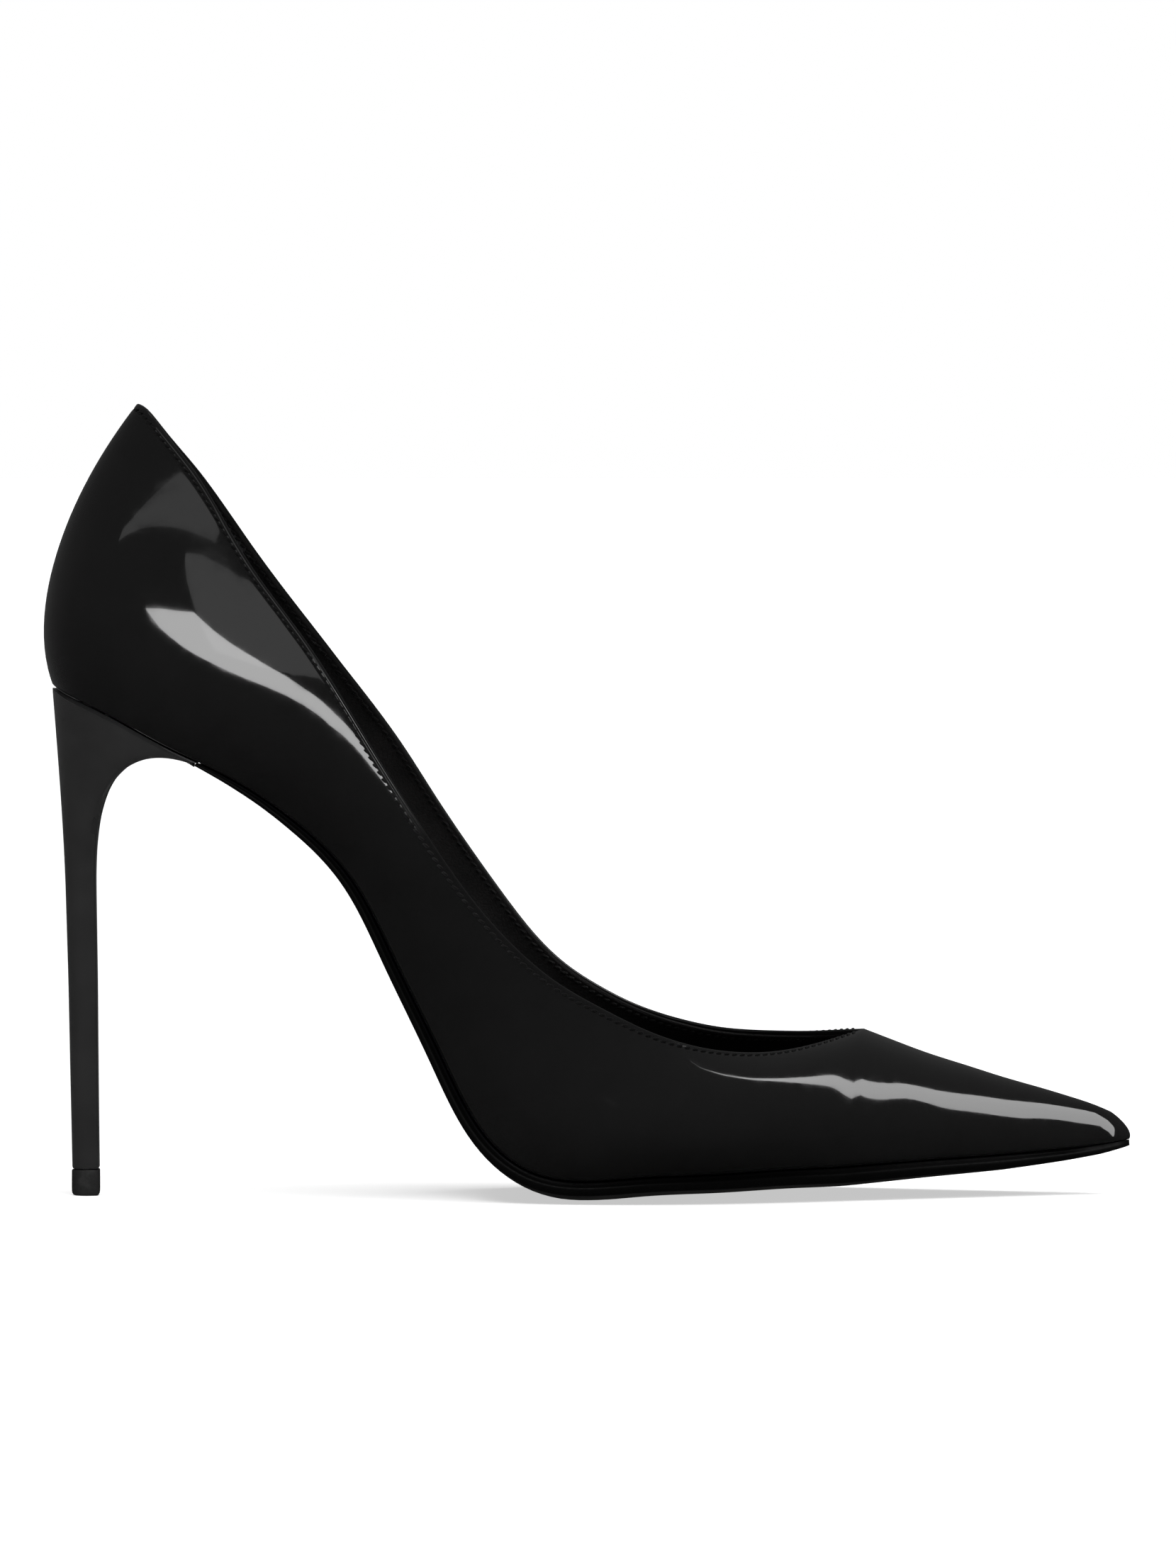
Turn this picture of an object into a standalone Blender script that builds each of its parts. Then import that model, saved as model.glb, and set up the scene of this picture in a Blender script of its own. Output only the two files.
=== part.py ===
"""High heel pump, a right shoe, as an assembly of its separate pieces.

Frame: +X to the toe, +Y to the inner (medial) side of the foot, +Z up, origin on the floor under the
middle of the shoe. Sizes below are in millimetres, and MM turns them into Blender's metres.
"""

import math

import bmesh
import bpy
import numpy as np

MM = 0.001
FRAME_SHIFT_Y = -0.17

# Leather and board thicknesses, and the gap between pieces that touch on the real shoe.
GAP = 0.3
UPPER_THICK = 1.1
LINING_THICK = 0.7
STIFFENER_THICK = 0.8
HEEL_COVER_THICK = 0.5
LASTING_MARGIN = 11.0
THREAD_RADIUS = 0.2
THREAD_ROW = 1

# Four rails from the back seam to the toe tip, each point (x, half-width, z): the feather edge where
# the upper meets the sole, two control rails that give the side wall its swell, and the topline,
# which beyond the throat becomes the ridge of the vamp.
FEATHER = (
    (-110.4, 0.0, 105.3), (-109.3, 7.5, 104.8), (-105.8, 14.5, 103.2), (-98.0, 20.5, 99.5),
    (-87.0, 23.0, 93.6), (-73.0, 22.0, 86.6), (-60.0, 20.5, 77.8), (-48.5, 20.0, 66.1),
    (-39.4, 20.5, 48.9), (-29.6, 23.0, 29.0), (-20.5, 27.4, 13.2), (-9.0, 31.8, 5.8),
    (11.0, 34.8, 5.7), (25.0, 33.6, 6.2), (39.0, 29.6, 6.9), (46.0, 27.0, 7.1),
    (53.0, 24.0, 7.3), (62.0, 20.5, 7.8), (69.3, 17.5, 8.2), (78.0, 14.0, 8.6),
    (86.0, 11.0, 9.0), (94.0, 7.9, 9.5), (100.5, 5.6, 10.0), (106.6, 3.5, 10.6),
    (110.2, 2.0, 11.1), (112.0, 0.0, 11.4),
)
LOWER_RAIL = (
    (-116.0, 0.0, 119.3), (-114.6, 8.5, 119.0), (-110.0, 17.5, 118.0), (-100.5, 25.0, 114.8),
    (-84.5, 28.0, 106.5), (-68.0, 27.5, 94.8), (-55.5, 26.5, 82.0), (-44.0, 26.0, 68.6),
    (-34.0, 26.5, 50.5), (-23.0, 30.0, 33.0), (-14.0, 35.0, 21.0), (-3.0, 39.5, 14.5),
    (14.0, 42.0, 13.5), (27.0, 40.5, 13.5), (40.0, 36.2, 14.0), (47.0, 32.8, 14.7),
    (54.0, 28.8, 15.6), (62.5, 23.5, 16.6), (69.5, 20.3, 17.0), (78.0, 16.2, 16.6),
    (86.0, 12.6, 16.0), (94.0, 9.2, 15.2), (100.5, 6.6, 14.6), (107.0, 4.2, 13.6),
    (111.0, 2.4, 12.9), (112.9, 0.0, 12.6),
)
UPPER_RAIL = (
    (-109.4, 0.0, 142.8), (-108.0, 5.8, 142.3), (-103.0, 12.5, 140.0), (-93.3, 19.0, 133.0),
    (-76.0, 22.5, 119.0), (-62.3, 24.5, 104.0), (-50.0, 26.0, 87.8), (-39.0, 27.0, 72.4),
    (-28.0, 28.0, 54.8), (-15.5, 30.5, 39.0), (-6.0, 33.0, 31.5), (4.5, 34.8, 26.8),
    (18.5, 34.6, 24.8), (29.5, 31.0, 25.0), (41.5, 26.0, 27.0), (48.5, 21.5, 29.6),
    (56.0, 16.2, 32.6), (63.0, 12.8, 31.2), (70.1, 10.6, 28.8), (78.5, 8.6, 26.1),
    (86.0, 6.8, 23.8), (94.0, 5.0, 21.5), (100.0, 3.8, 19.8), (104.4, 2.7, 18.6),
    (107.6, 1.6, 17.2), (111.2, 0.0, 14.9),
)
TOPLINE = (
    (-92.9, 0.0, 163.7), (-91.4, 3.6, 162.8), (-87.4, 7.6, 158.0), (-80.0, 12.0, 148.4),
    (-70.0, 16.8, 131.5), (-57.0, 21.3, 113.3), (-44.8, 24.0, 93.4), (-33.5, 25.6, 75.2),
    (-21.6, 26.7, 58.4), (-8.0, 27.3, 45.1), (2.0, 26.8, 39.0), (11.0, 25.6, 34.5),
    (23.0, 22.6, 30.5), (32.0, 19.2, 29.4), (42.6, 13.6, 30.3), (49.9, 7.8, 32.2),
    (57.0, 0.0, 34.4),
)
RIDGE = (
    (57.0, 0.0, 34.4), (63.2, 0.0, 32.0), (70.1, 0.0, 29.4), (78.5, 0.0, 26.7),
    (86.0, 0.0, 24.3), (94.0, 0.0, 22.0), (99.6, 0.0, 20.3), (103.6, 0.0, 19.0),
    (106.2, 0.0, 18.0), (108.2, 0.0, 17.1),
)

# Where the shoe's centre line lies across its length: the waist leans outwards, the toe inwards.
SWING = ((-112, 0.0), (-70, -0.4), (-35, -1.6), (0, -0.6), (30, 0.8), (60, 2.0), (90, 3.0), (113, 3.5))
# The inner side's half-width over the outer side's: cut in at the waist, fuller ahead of the ball.
MEDIAL = ((-112, 1.0), (-75, 0.98), (-35, 0.9), (-5, 0.97), (25, 1.03), (60, 1.02), (113, 1.0))
# How much higher the topline stands than its rail, on the outer and the inner side, at topline x.
OUTER_RISE = ((-93, 0.0), (-78, 0.3), (-52, 0.8), (-27, 1.3), (-7, 1.5), (20, 1.4), (41, 0.9), (57, 0.0))
INNER_RISE = (
    (-93, 0.0), (-85, 0.1), (-78, 1.1), (-71, 3.1), (-65, 3.6), (-58, 3.9), (-51, 5.6), (-45, 8.0),
    (-38, 9.7), (-32, 9.6), (-25, 9.2), (-18, 7.8), (-12, 5.9), (-5, 4.3), (1, 3.7), (8, 3.6),
    (14, 3.9), (21, 4.2), (28, 4.2), (34, 4.1), (41, 3.4), (47, 2.2), (54, 0.7), (57, 0.0),
)
UPPER_RAIL_SHARE = 0.55
# How far the sole's middle hangs below its edges.
CROWN = (
    (-112, 0.0), (-79, 0.0), (-48, 0.5), (-20, 1.4), (-2, 2.5),
    (11, 2.5), (53, 1.8), (85, 0.8), (112, 0.0),
)
SOLE_THICK = (
    (-80, 0.9), (-71, 1.3), (-60, 1.7), (-48, 2.0), (-5, 2.8), (20, 2.8),
    (53, 2.6), (85, 2.2), (106, 1.2), (112, 0.8),
)

# Feather x of the places where pieces begin and end.
GRIP_END = -92.0
VAMP_SEAM = -16.0
COUNTER_END = -66.0
PUFF_START = 76.0
LINING_END = 96.5
HEEL_FRONT = -79.6

# The stiletto: the stem's back and front x, and its half-width, at heights z.
STEM = (
    (62.0, -107.9, -101.6, 4.3), (45.0, -107.4, -101.35, 4.15),
    (25.0, -107.0, -101.2, 4.0), (5.6, -106.6, -101.0, 3.9),
)
LIFT_HEIGHT = 5.3
TUBE_TOP, TUBE_BOTTOM = 66.0, 7.5
TUBE_RADIUS, TUBE_BORE, CORE_BORE = 1.25, 0.85, 1.42
PIN_RADIUS, PIN_TOP, PIN_BOTTOM = 0.68, 17.0, 2.4


def smooth_curve(points, knots, at):
    """A natural cubic spline through the points, read at the given parameters."""
    points = np.asarray(points, float)
    steps = np.diff(knots)
    count = len(points)
    matrix = np.eye(count)
    right = np.zeros(points.shape)
    for i in range(1, count - 1):
        matrix[i, i - 1 : i + 2] = steps[i - 1], 2 * (steps[i - 1] + steps[i]), steps[i]
        ahead = (points[i + 1] - points[i]) / steps[i]
        behind = (points[i] - points[i - 1]) / steps[i - 1]
        right[i] = 6 * (ahead - behind)
    bend = np.linalg.solve(matrix, right)
    at = np.clip(at, knots[0], knots[-1])
    i = np.clip(np.searchsorted(knots, at, side="right") - 1, 0, count - 2)
    step = steps[i][:, None]
    before = (knots[i + 1] - at)[:, None]
    after = (at - knots[i])[:, None]
    cubic = (bend[i] * before**3 + bend[i + 1] * after**3) / (6 * step)
    first = (points[i] / step - bend[i] * step / 6) * before
    second = (points[i + 1] / step - bend[i + 1] * step / 6) * after
    return cubic + first + second


def mirrored_ends(points, knots, reach=3):
    """Repeats the first points beyond the centre plane, so that the spline crosses it square."""
    points = np.asarray(points, float)
    ghosts = points[1 : reach + 1][::-1] * (1, -1, 1)
    return np.concatenate([ghosts, points]), np.concatenate([-knots[1 : reach + 1][::-1], knots])


def station_knots():
    """One parameter for every station of the rails: the mean way along feather edge and topline."""
    steps = np.zeros(len(FEATHER) - 1)
    for rail in (FEATHER, TOPLINE + RIDGE[1:]):
        steps += np.linalg.norm(np.diff(np.asarray(rail), axis=0), axis=1) / 2
    return np.concatenate([[0], np.cumsum(steps)])


KNOTS = station_knots()
THROAT = KNOTS[len(TOPLINE) - 1]


def rails_at(v):
    """The four rails at parameters v: an array (rail, v, xyz)."""
    rails = [smooth_curve(*mirrored_ends(rail, KNOTS), v) for rail in (FEATHER, LOWER_RAIL, UPPER_RAIL)]
    top = smooth_curve(*mirrored_ends(TOPLINE, KNOTS[: len(TOPLINE)]), v)
    ridge = smooth_curve(RIDGE, KNOTS[len(TOPLINE) - 1 :], v)
    rails.append(np.where((v < THROAT - 1e-6)[:, None], top, ridge))
    return np.array(rails)


def along(table, x):
    """A size that changes along the shoe, eased between the table's (x, size) pairs."""
    keys = np.array([row[0] for row in table], float)
    sizes = np.array([[row[1]] for row in table], float)
    x = np.asarray(x, float)
    return smooth_curve(sizes, keys, x.reshape(-1))[:, 0].reshape(x.shape)


def side_rails(v, side):
    """The rails of the outer (-1) or the inner (+1) side: the topline stands higher on the inner one."""
    rails = rails_at(v)
    rise = along(INNER_RISE if side > 0 else OUTER_RISE, rails[3][:, 0])
    rise = np.where((v > 0) & (v < THROAT - 1e-6), rise, 0.0)
    rails[3][:, 2] += rise
    rails[2][:, 2] += UPPER_RAIL_SHARE * rise
    return rails


def placed(points, side):
    """Half-form points (x, half-width, z) put on the outer side (-1) or the inner side (+1) of the shoe."""
    x = points[..., 0]
    fuller = along(MEDIAL, x) if side > 0 else 1.0
    y = along(SWING, x) + side * points[..., 1] * fuller + FRAME_SHIFT_Y
    return np.stack([x, y, points[..., 2]], axis=-1)


FINE_V = np.linspace(0, KNOTS[-1], 600)
FINE_FEATHER = rails_at(FINE_V)[0]


def v_of(x):
    """The rails' parameter where the feather edge has this x."""
    return np.interp(x, FINE_FEATHER[:, 0], FINE_V)


def half_width(x):
    return np.interp(x, FINE_FEATHER[:, 0], FINE_FEATHER[:, 1])


def feather_height(x):
    return np.interp(x, FINE_FEATHER[:, 0], FINE_FEATHER[:, 2])


def bottom_point(x, across, side):
    """A point on the underside of the foot form; across runs from 0 on the centre line to 1 at the edge."""
    half = half_width(x) * across
    z = feather_height(x) - along(CROWN, x) * (1 - np.clip(across, 0, 1) ** 2)
    return placed(np.stack([x, half, z], axis=-1), side)


def bottom_frame(x, side=1, across=0.0):
    """A point of the underside and its unit normal, which points up into the shoe."""
    near = 0.5
    ahead = bottom_point(np.array([x + near]), across, side)[0]
    behind = bottom_point(np.array([x - near]), across, side)[0]
    slope = ahead - behind
    normal = np.array([-slope[2], 0.0, slope[0]])
    return bottom_point(np.array([x]), across, side)[0], normal / np.linalg.norm(normal)


# ---- the foot form's surface, from which every layer of the upper is offset ----

TOP_ROWS = (0.0, 1.6, 3.6, 7.5)
MIDDLE_ROWS = 4
BOTTOM_ROWS = (3.8, 1.0)
LAST_FREE_ROW = len(TOP_ROWS) + MIDDLE_ROWS
MARGIN_ROWS = ((0.35, 0.2), (1.5, 0.0), (5.5, 0.0), (LASTING_MARGIN, 0.0))
MARGIN_SHARE = 0.55


def column_parameters():
    """Where the mesh columns stand: evenly, and one exactly at each piece's end."""
    even = np.concatenate([np.linspace(0, THROAT, 21), np.linspace(THROAT, KNOTS[-1], 10)[1:]])
    ends = [v_of(x) for x in (GRIP_END, VAMP_SEAM, COUNTER_END, PUFF_START, LINING_END, HEEL_FRONT)]
    kept = [v for v in even if min(abs(v - end) for end in ends) > 2.2 or v in (0, THROAT, KNOTS[-1])]
    return np.array(sorted(kept + ends))


def spine_x(x):
    """Where on the centre line a point at feather x looks: ahead of it round the heel seat."""
    return x + 14.0 * np.exp(-(x + 110.4) / 16.0)


def bottom_ring(feather, inward):
    """Half-form points of the underside, a given way in from the feather edge (0) to the spine (1)."""
    x = feather[:, 0] + (spine_x(feather[:, 0]) - feather[:, 0]) * inward
    half = feather[:, 1] * (1 - inward)
    share = np.clip(half / np.maximum(half_width(x), 0.01), 0, 1)
    z = feather_height(x) - along(CROWN, x) * (1 - share**2)
    return np.stack([x, half, z], axis=-1)


def reach_inward(feather, distance):
    """The share of the way to the spine that a distance in mm makes."""
    length = np.hypot(spine_x(feather[:, 0]) - feather[:, 0], feather[:, 1])
    return np.minimum(distance / np.maximum(length, 0.01), MARGIN_SHARE)


def lift(points, level):
    """Moves points of the underside square to it, up into the shoe by level."""
    near = 0.6
    x = points[..., 0]
    rise = feather_height(x + near) - feather_height(x - near)
    length = np.hypot(rise, 2 * near)
    level = np.asarray(level, float)
    moved = points.copy()
    moved[..., 0] -= level * rise / length
    moved[..., 2] += level * 2 * near / length
    return moved


def side_wall_rows(rails):
    """Rows of half-form points from the topline or ridge down to just above the feather edge."""
    t = np.linspace(0, 1, 41)[:, None, None]
    curve = (
        (1 - t) ** 3 * rails[3]
        + 3 * (1 - t) ** 2 * t * rails[2]
        + 3 * (1 - t) * t**2 * rails[1]
        + t**3 * rails[0]
    )
    rows = []
    for column in range(curve.shape[1]):
        section = curve[:, column]
        walked = np.concatenate([[0], np.cumsum(np.linalg.norm(np.diff(section, axis=0), axis=1))])
        length = walked[-1]
        top = np.array(TOP_ROWS) * min(1, length / 35)
        bottom = length - np.array(BOTTOM_ROWS) * min(1, length / 25)
        middle = np.linspace(top[-1], bottom[0], MIDDLE_ROWS + 2)[1:-1]
        places = np.concatenate([top, middle, bottom])
        rows.append([[np.interp(s, walked, section[:, axis]) for axis in range(3)] for s in places])
    return np.array(rows)


def foot_form():
    """The outer skin as points (side, column, row, xyz), from the topline to the turned-under margin."""
    halves = []
    for side in (-1, 1):
        rails = side_rails(COLUMN_V, side)
        feather = rails[0]
        rows = list(np.moveaxis(side_wall_rows(rails), 1, 0))
        for distance, level in MARGIN_ROWS:
            rows.append(lift(bottom_ring(feather, reach_inward(feather, distance)), level))
        halves.append(placed(np.stack(rows, axis=1), side))
    return np.array(halves)


def grid_faces(columns, rows):
    """Triangles of the two half grids, split alike so that stacked layers keep their gap."""
    faces = []
    for side in (0, 1):
        for i in range(columns - 1):
            for j in range(rows - 1):
                corner = (side * columns + i) * rows + j
                far = corner + rows + 1
                for face in ([corner, corner + rows, far], [corner, far, corner + 1]):
                    faces.append(face if side else face[::-1])
    return faces


def welded(points, faces):
    """Joins points that coincide. It gives each point's new number, and the faces that are left."""
    keys = {}
    number = []
    for point in np.round(points, 3):
        number.append(keys.setdefault(tuple(point + 0.0), len(keys)))
    kept = []
    for face in faces:
        corners = list(dict.fromkeys(number[i] for i in face))
        if len(corners) > 2:
            kept.append(corners)
    return np.array(number), kept


def averaged(values, number):
    total = np.zeros((number.max() + 1, 3))
    np.add.at(total, number, values)
    return total / np.bincount(number)[:, None]


def form_normals(form):
    """Unit normals of the form, pointing out, one for each of its points."""
    flat = form.reshape(-1, 3)
    number, faces = welded(flat, grid_faces(form.shape[1], form.shape[2]))
    points = averaged(flat, number)
    normals = np.zeros_like(points)
    for face in faces:
        first, second, third = points[face]
        area = np.cross(second - first, third - first)
        for corner in face:
            normals[corner] += area
    normals /= np.linalg.norm(normals, axis=1)[:, None]
    return normals[number].reshape(form.shape)


COLUMN_V = column_parameters()
COLUMN_X = rails_at(COLUMN_V)[0][:, 0]
FORM = foot_form()
FORM_NORMALS = form_normals(FORM)


# ---- from points to closed solids ----


def material(name, colour, roughness, metallic=0.0, coat=0.0):
    made = bpy.data.materials.get(name)
    if made:
        return made
    made = bpy.data.materials.new(name)
    made.use_nodes = True
    shader = made.node_tree.nodes["Principled BSDF"]
    shader.inputs["Base Color"].default_value = (*colour, 1)
    shader.inputs["Roughness"].default_value = roughness
    shader.inputs["Metallic"].default_value = metallic
    shader.inputs["Coat Weight"].default_value = coat
    return made


def collection(name):
    found = bpy.data.collections.get(name)
    if found is None:
        found = bpy.data.collections.new(name)
        bpy.context.scene.collection.children.link(found)
    return found


def add_object(name, points, faces, look):
    """A mesh object from points in mm, with its faces turned out."""
    mesh = bpy.data.meshes.new(name)
    mesh.from_pydata([tuple(p * MM) for p in np.asarray(points)], [], faces)
    work = bmesh.new()
    work.from_mesh(mesh)
    if work.calc_volume(signed=True) < 0:
        bmesh.ops.reverse_faces(work, faces=work.faces)
    work.to_mesh(mesh)
    work.free()
    mesh.shade_smooth()
    mesh.set_sharp_from_angle(angle=math.radians(40))
    made = bpy.data.objects.new(name, mesh)
    made.data.materials.append(look)
    collection("high_heel_pump").objects.link(made)
    return made


def sheet_solid(name, outer, inner, faces, look):
    """Closes two matching sheets of points into one solid, with a rim along their open edges."""
    number, faces = welded(outer, faces)
    count = number.max() + 1
    points = np.concatenate([averaged(outer, number), averaged(inner, number)])
    directed = {(a, b) for face in faces for a, b in zip(face, face[1:] + face[:1])}
    rim = [[b, a, a + count, b + count] for a, b in directed if (b, a) not in directed]
    back = [[corner + count for corner in face[::-1]] for face in faces]
    return add_object(name, points, faces + back + sorted(rim), look)


def column_range(start, end):
    """Master columns from feather x start to end, and how far each end column is pulled in for a gap."""
    chosen = [i for i, x in enumerate(COLUMN_X) if start - 0.01 <= x <= end + 0.01]
    return chosen[0], chosen[-1]


def pulled_in(block, at_start, at_end, amount=GAP / 2):
    """Draws a block's end columns in a little, to leave the gap of a butt joint."""
    block = block.copy()
    if at_start:
        step = block[:, 1] - block[:, 0]
        length = np.linalg.norm(step, axis=-1, keepdims=True)
        block[:, 0] += step * amount / np.maximum(length, 1)
    if at_end:
        step = block[:, -2] - block[:, -1]
        length = np.linalg.norm(step, axis=-1, keepdims=True)
        block[:, -1] += step * amount / np.maximum(length, 1)
    return block


def layer(name, start, end, rows, depth, thickness, look, sides=(0, 1), joins=(False, False)):
    """A sheet of leather or stiffener, offset inwards from the form.

    depth and thickness are arrays (column, row) or numbers. joins says at which end another piece
    of the same layer begins."""
    first, last = column_range(start, end)
    columns = slice(first, last + 1)
    block = FORM[:, columns, rows[0] : rows[1] + 1]
    normals = FORM_NORMALS[:, columns, rows[0] : rows[1] + 1]
    depth = np.broadcast_to(depth, block.shape[1:3])[None, :, :, None]
    thickness = np.broadcast_to(thickness, block.shape[1:3])[None, :, :, None]
    outer = pulled_in(block - normals * depth, *joins)
    inner = pulled_in(block - normals * (depth + thickness), *joins)
    faces = grid_faces(block.shape[1], block.shape[2])
    if len(sides) == 1:
        outer, inner = outer[list(sides)], inner[list(sides)]
        half = 2 * (block.shape[1] - 1) * (block.shape[2] - 1)
        faces = faces[:half] if sides[0] == 0 else faces[half:]
        shift = min(min(face) for face in faces)
        faces = [[corner - shift for corner in face] for face in faces]
    return sheet_solid(name, outer.reshape(-1, 3), inner.reshape(-1, 3), faces, look)


def plate(name, start, end, inset, low, high, look, rows=4, floor=None, start_gap=0.0):
    """A board that follows the underside, from the column nearest start to the one nearest end.

    low and high are its faces' levels, as numbers or as tables over x."""
    first, last = (np.abs(COLUMN_X - x).argmin() for x in (start, end))
    v = COLUMN_V[first : last + 1].copy()
    v[0] += start_gap
    feather = rails_at(v)[0]
    edge = inset(feather) if callable(inset) else reach_inward(feather, inset)
    sheets = []
    for levels in (low, high):
        halves = []
        for row in np.linspace(0, 1, rows):
            ring = bottom_ring(feather, edge + (1 - edge) * row)
            level = levels if np.isscalar(levels) else np.interp(ring[:, 0], *zip(*levels))
            halves.append(lift(ring, level))
        half = np.stack(halves, axis=1)
        sheets.append(np.array([placed(half, -1), placed(half, 1)]).reshape(-1, 3))
    if floor is not None:
        sheets[0][:, 2] = np.maximum(sheets[0][:, 2], floor)
    return sheet_solid(name, sheets[0], sheets[1], grid_faces(len(v), rows), look)


# ---- the upper and its linings and stiffeners ----


def patent():
    return material("black_patent", (0.012, 0.012, 0.013), 0.12, coat=1.0)


def lining_leather():
    return material("black_lining", (0.02, 0.019, 0.018), 0.6)


def make_upper():
    rows = FORM.shape[2]
    thickness = np.full(rows, UPPER_THICK)
    thickness[:2] = 0.75, 0.95
    layer("upper", COLUMN_X[0], COLUMN_X[-1], (0, rows - 1), 0.0, thickness[None, :], patent())


def lining_depth(start, end):
    """How deep the lining's outer face lies: over the stiffeners, and up to the upper at the topline."""
    first, last = column_range(start, end)
    x = COLUMN_X[first : last + 1]
    base = np.interp(x, (-60, -48, 68, 75.9), (2.6, 1.5, 1.5, 2.5))
    depth = np.repeat(base[:, None], LAST_FREE_ROW + 1, axis=1)
    open_top = COLUMN_V[first : last + 1] < THROAT + 0.1
    depth[open_top, 0] = 1.05
    depth[open_top, 1:4] = np.minimum(np.maximum(depth[open_top, 1:4], 1.95), 2.2)
    return depth


def make_linings():
    pieces = (
        ("heel_grip", COLUMN_X[0], GRIP_END, (0, 1), (False, True)),
        ("quarter_lining_outer", GRIP_END, VAMP_SEAM, (0,), (True, True)),
        ("quarter_lining_inner", GRIP_END, VAMP_SEAM, (1,), (True, True)),
        ("vamp_lining", VAMP_SEAM, LINING_END, (0, 1), (True, False)),
    )
    for name, start, end, sides, joins in pieces:
        depth = lining_depth(start, end)
        layer(name, start, end, (0, LAST_FREE_ROW), depth, LINING_THICK, lining_leather(), sides, joins)


def make_stiffeners():
    board = material("stiffener_board", (0.42, 0.34, 0.24), 0.8)
    tape = material("reinforcing_tape", (0.75, 0.74, 0.7), 0.75)
    skived = np.array([0.35, 0.7, STIFFENER_THICK, STIFFENER_THICK, STIFFENER_THICK])
    layer("heel_counter", COLUMN_X[0], COUNTER_END, (4, LAST_FREE_ROW), 1.4, skived[None, :], board)
    layer("toe_puff", PUFF_START, LINING_END, (0, LAST_FREE_ROW), 1.4, 0.75, board)
    layer("topline_tape", COLUMN_X[0], 48.0, (1, 3), 1.38, 0.27, tape)


def make_topline_thread():
    """The one row of stitching below the topline, as a plain round thread lying on the upper."""
    last = int(np.flatnonzero(COLUMN_V >= THROAT - 0.1)[0])
    path = FORM[:, :last, THREAD_ROW] + FORM_NORMALS[:, :last, THREAD_ROW] * (THREAD_RADIUS + 0.2)
    points = np.concatenate([path[0][::-1], path[1][1:]]) * MM
    curve = bpy.data.curves.new("topline_thread", "CURVE")
    curve.dimensions = "3D"
    curve.bevel_depth = THREAD_RADIUS * MM
    curve.bevel_resolution = 1
    curve.use_fill_caps = True
    spline = curve.splines.new("POLY")
    spline.points.add(len(points) - 1)
    for target, point in zip(spline.points, points):
        target.co = (*point, 1)
    made = bpy.data.objects.new("topline_thread", curve)
    made.data.materials.append(material("black_thread", (0.015, 0.015, 0.016), 0.6))
    collection("high_heel_pump").objects.link(made)


# ---- the boards under the foot ----


def make_boards():
    fibre = material("fibreboard", (0.45, 0.36, 0.25), 0.85)
    foam = material("foam", (0.8, 0.76, 0.68), 0.9)
    cork = material("cork_filler", (0.5, 0.36, 0.22), 0.9)
    sock = material("sock_leather", (0.03, 0.028, 0.026), 0.5)
    steel = material("spring_steel", (0.5, 0.5, 0.52), 0.35, metallic=1.0)
    leather = material("sole_leather", (0.02, 0.019, 0.018), 0.45)

    plate("insole_board", -112.0, 97.0, 2.2, 1.5, ((-112, 2.7), (78, 2.7), (97, 2.0)), fibre)
    shank_top = ((-112, 4.4), (-30, 4.4), (-8, 3.5))
    plate("shank_board", -112.0, -8.0, 4.2, 3.0, shank_top, fibre)
    plate("heel_cushion", -112.0, -78.0, 8.0, 5.9, ((-112, 7.7), (-90, 7.7), (-74, 6.5)), foam)
    cushion_top = ((-5, 3.6), (5, 4.8), (50, 4.8), (63, 3.7))
    plate("forefoot_cushion", -4.0, 62.0, 8.0, 3.0, cushion_top, foam, start_gap=2 * GAP)
    sock_low = ((-112, 8.0), (-90, 8.0), (-70, 6.6), (-60, 5.7), (55, 5.4), (75, 3.4), (95, 3.1))
    sock_high = tuple((x, level + 0.8) for x, level in sock_low)
    plate("sock_lining", -112.0, 89.0, 4.8, sock_low, sock_high, sock, rows=5)

    def beside_margin(feather):
        return reach_inward(feather, LASTING_MARGIN) + 1.2 / np.maximum(feather[:, 1], 1)

    plate("bottom_filler", -4.0, 84.0, beside_margin, 0.15, 1.2, cork, start_gap=2 * GAP)
    shank_half = 5.5

    def shank_edge(feather):
        return 1 - shank_half / feather[:, 1]

    plate("steel_shank", -85.0, -5.0, shank_edge, 0.15, 1.2, steel, rows=3)
    sole_low = tuple((x, -GAP - thick) for x, thick in SOLE_THICK)
    plate("outsole", HEEL_FRONT, 112.0, -0.3, sole_low, -GAP, leather, rows=6, floor=0.0, start_gap=GAP)


# ---- the heel ----

SEAT_DROP = 0.9
SEAT_POINTS = 15
BREAST_POINTS = 5
HEEL_TURNS = 9

# How the heel's outline leaves the seat and arrives at the stem, by the way round from the back (0)
# to the front corner (1), then to the middle of the breast (2): offsets (x, outwards, z).
LEAVING = (
    (0, 1.0, 0.0, -12.5), (0.4, -0.5, -2.0, -10.0), (0.75, -6.0, -4.0, -6.0),
    (1, -15.4, -6.5, 5.6), (2, -16.4, 0.0, 7.1),
)
ARRIVING = (
    (0, -0.4, 0.0, 14.0), (0.4, 0.0, 0.4, 20.0), (0.75, -0.2, 0.5, 24.0),
    (1, -0.3, 0.4, 25.5), (2, -0.4, 0.0, 26.5),
)


def heel_round():
    """The way round the heel as (turn, side): from the outer front corner over the back to the inner one,
    then across the breast."""
    back = [(abs(u), -1 if u < 0 else 1) for u in np.linspace(-1, 1, SEAT_POINTS)]
    breast = []
    for step in np.linspace(1, -1, BREAST_POINTS + 2)[1:-1]:
        breast.append((2 - abs(step), 1 if step >= 0 else -1))
    return back + breast


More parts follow.
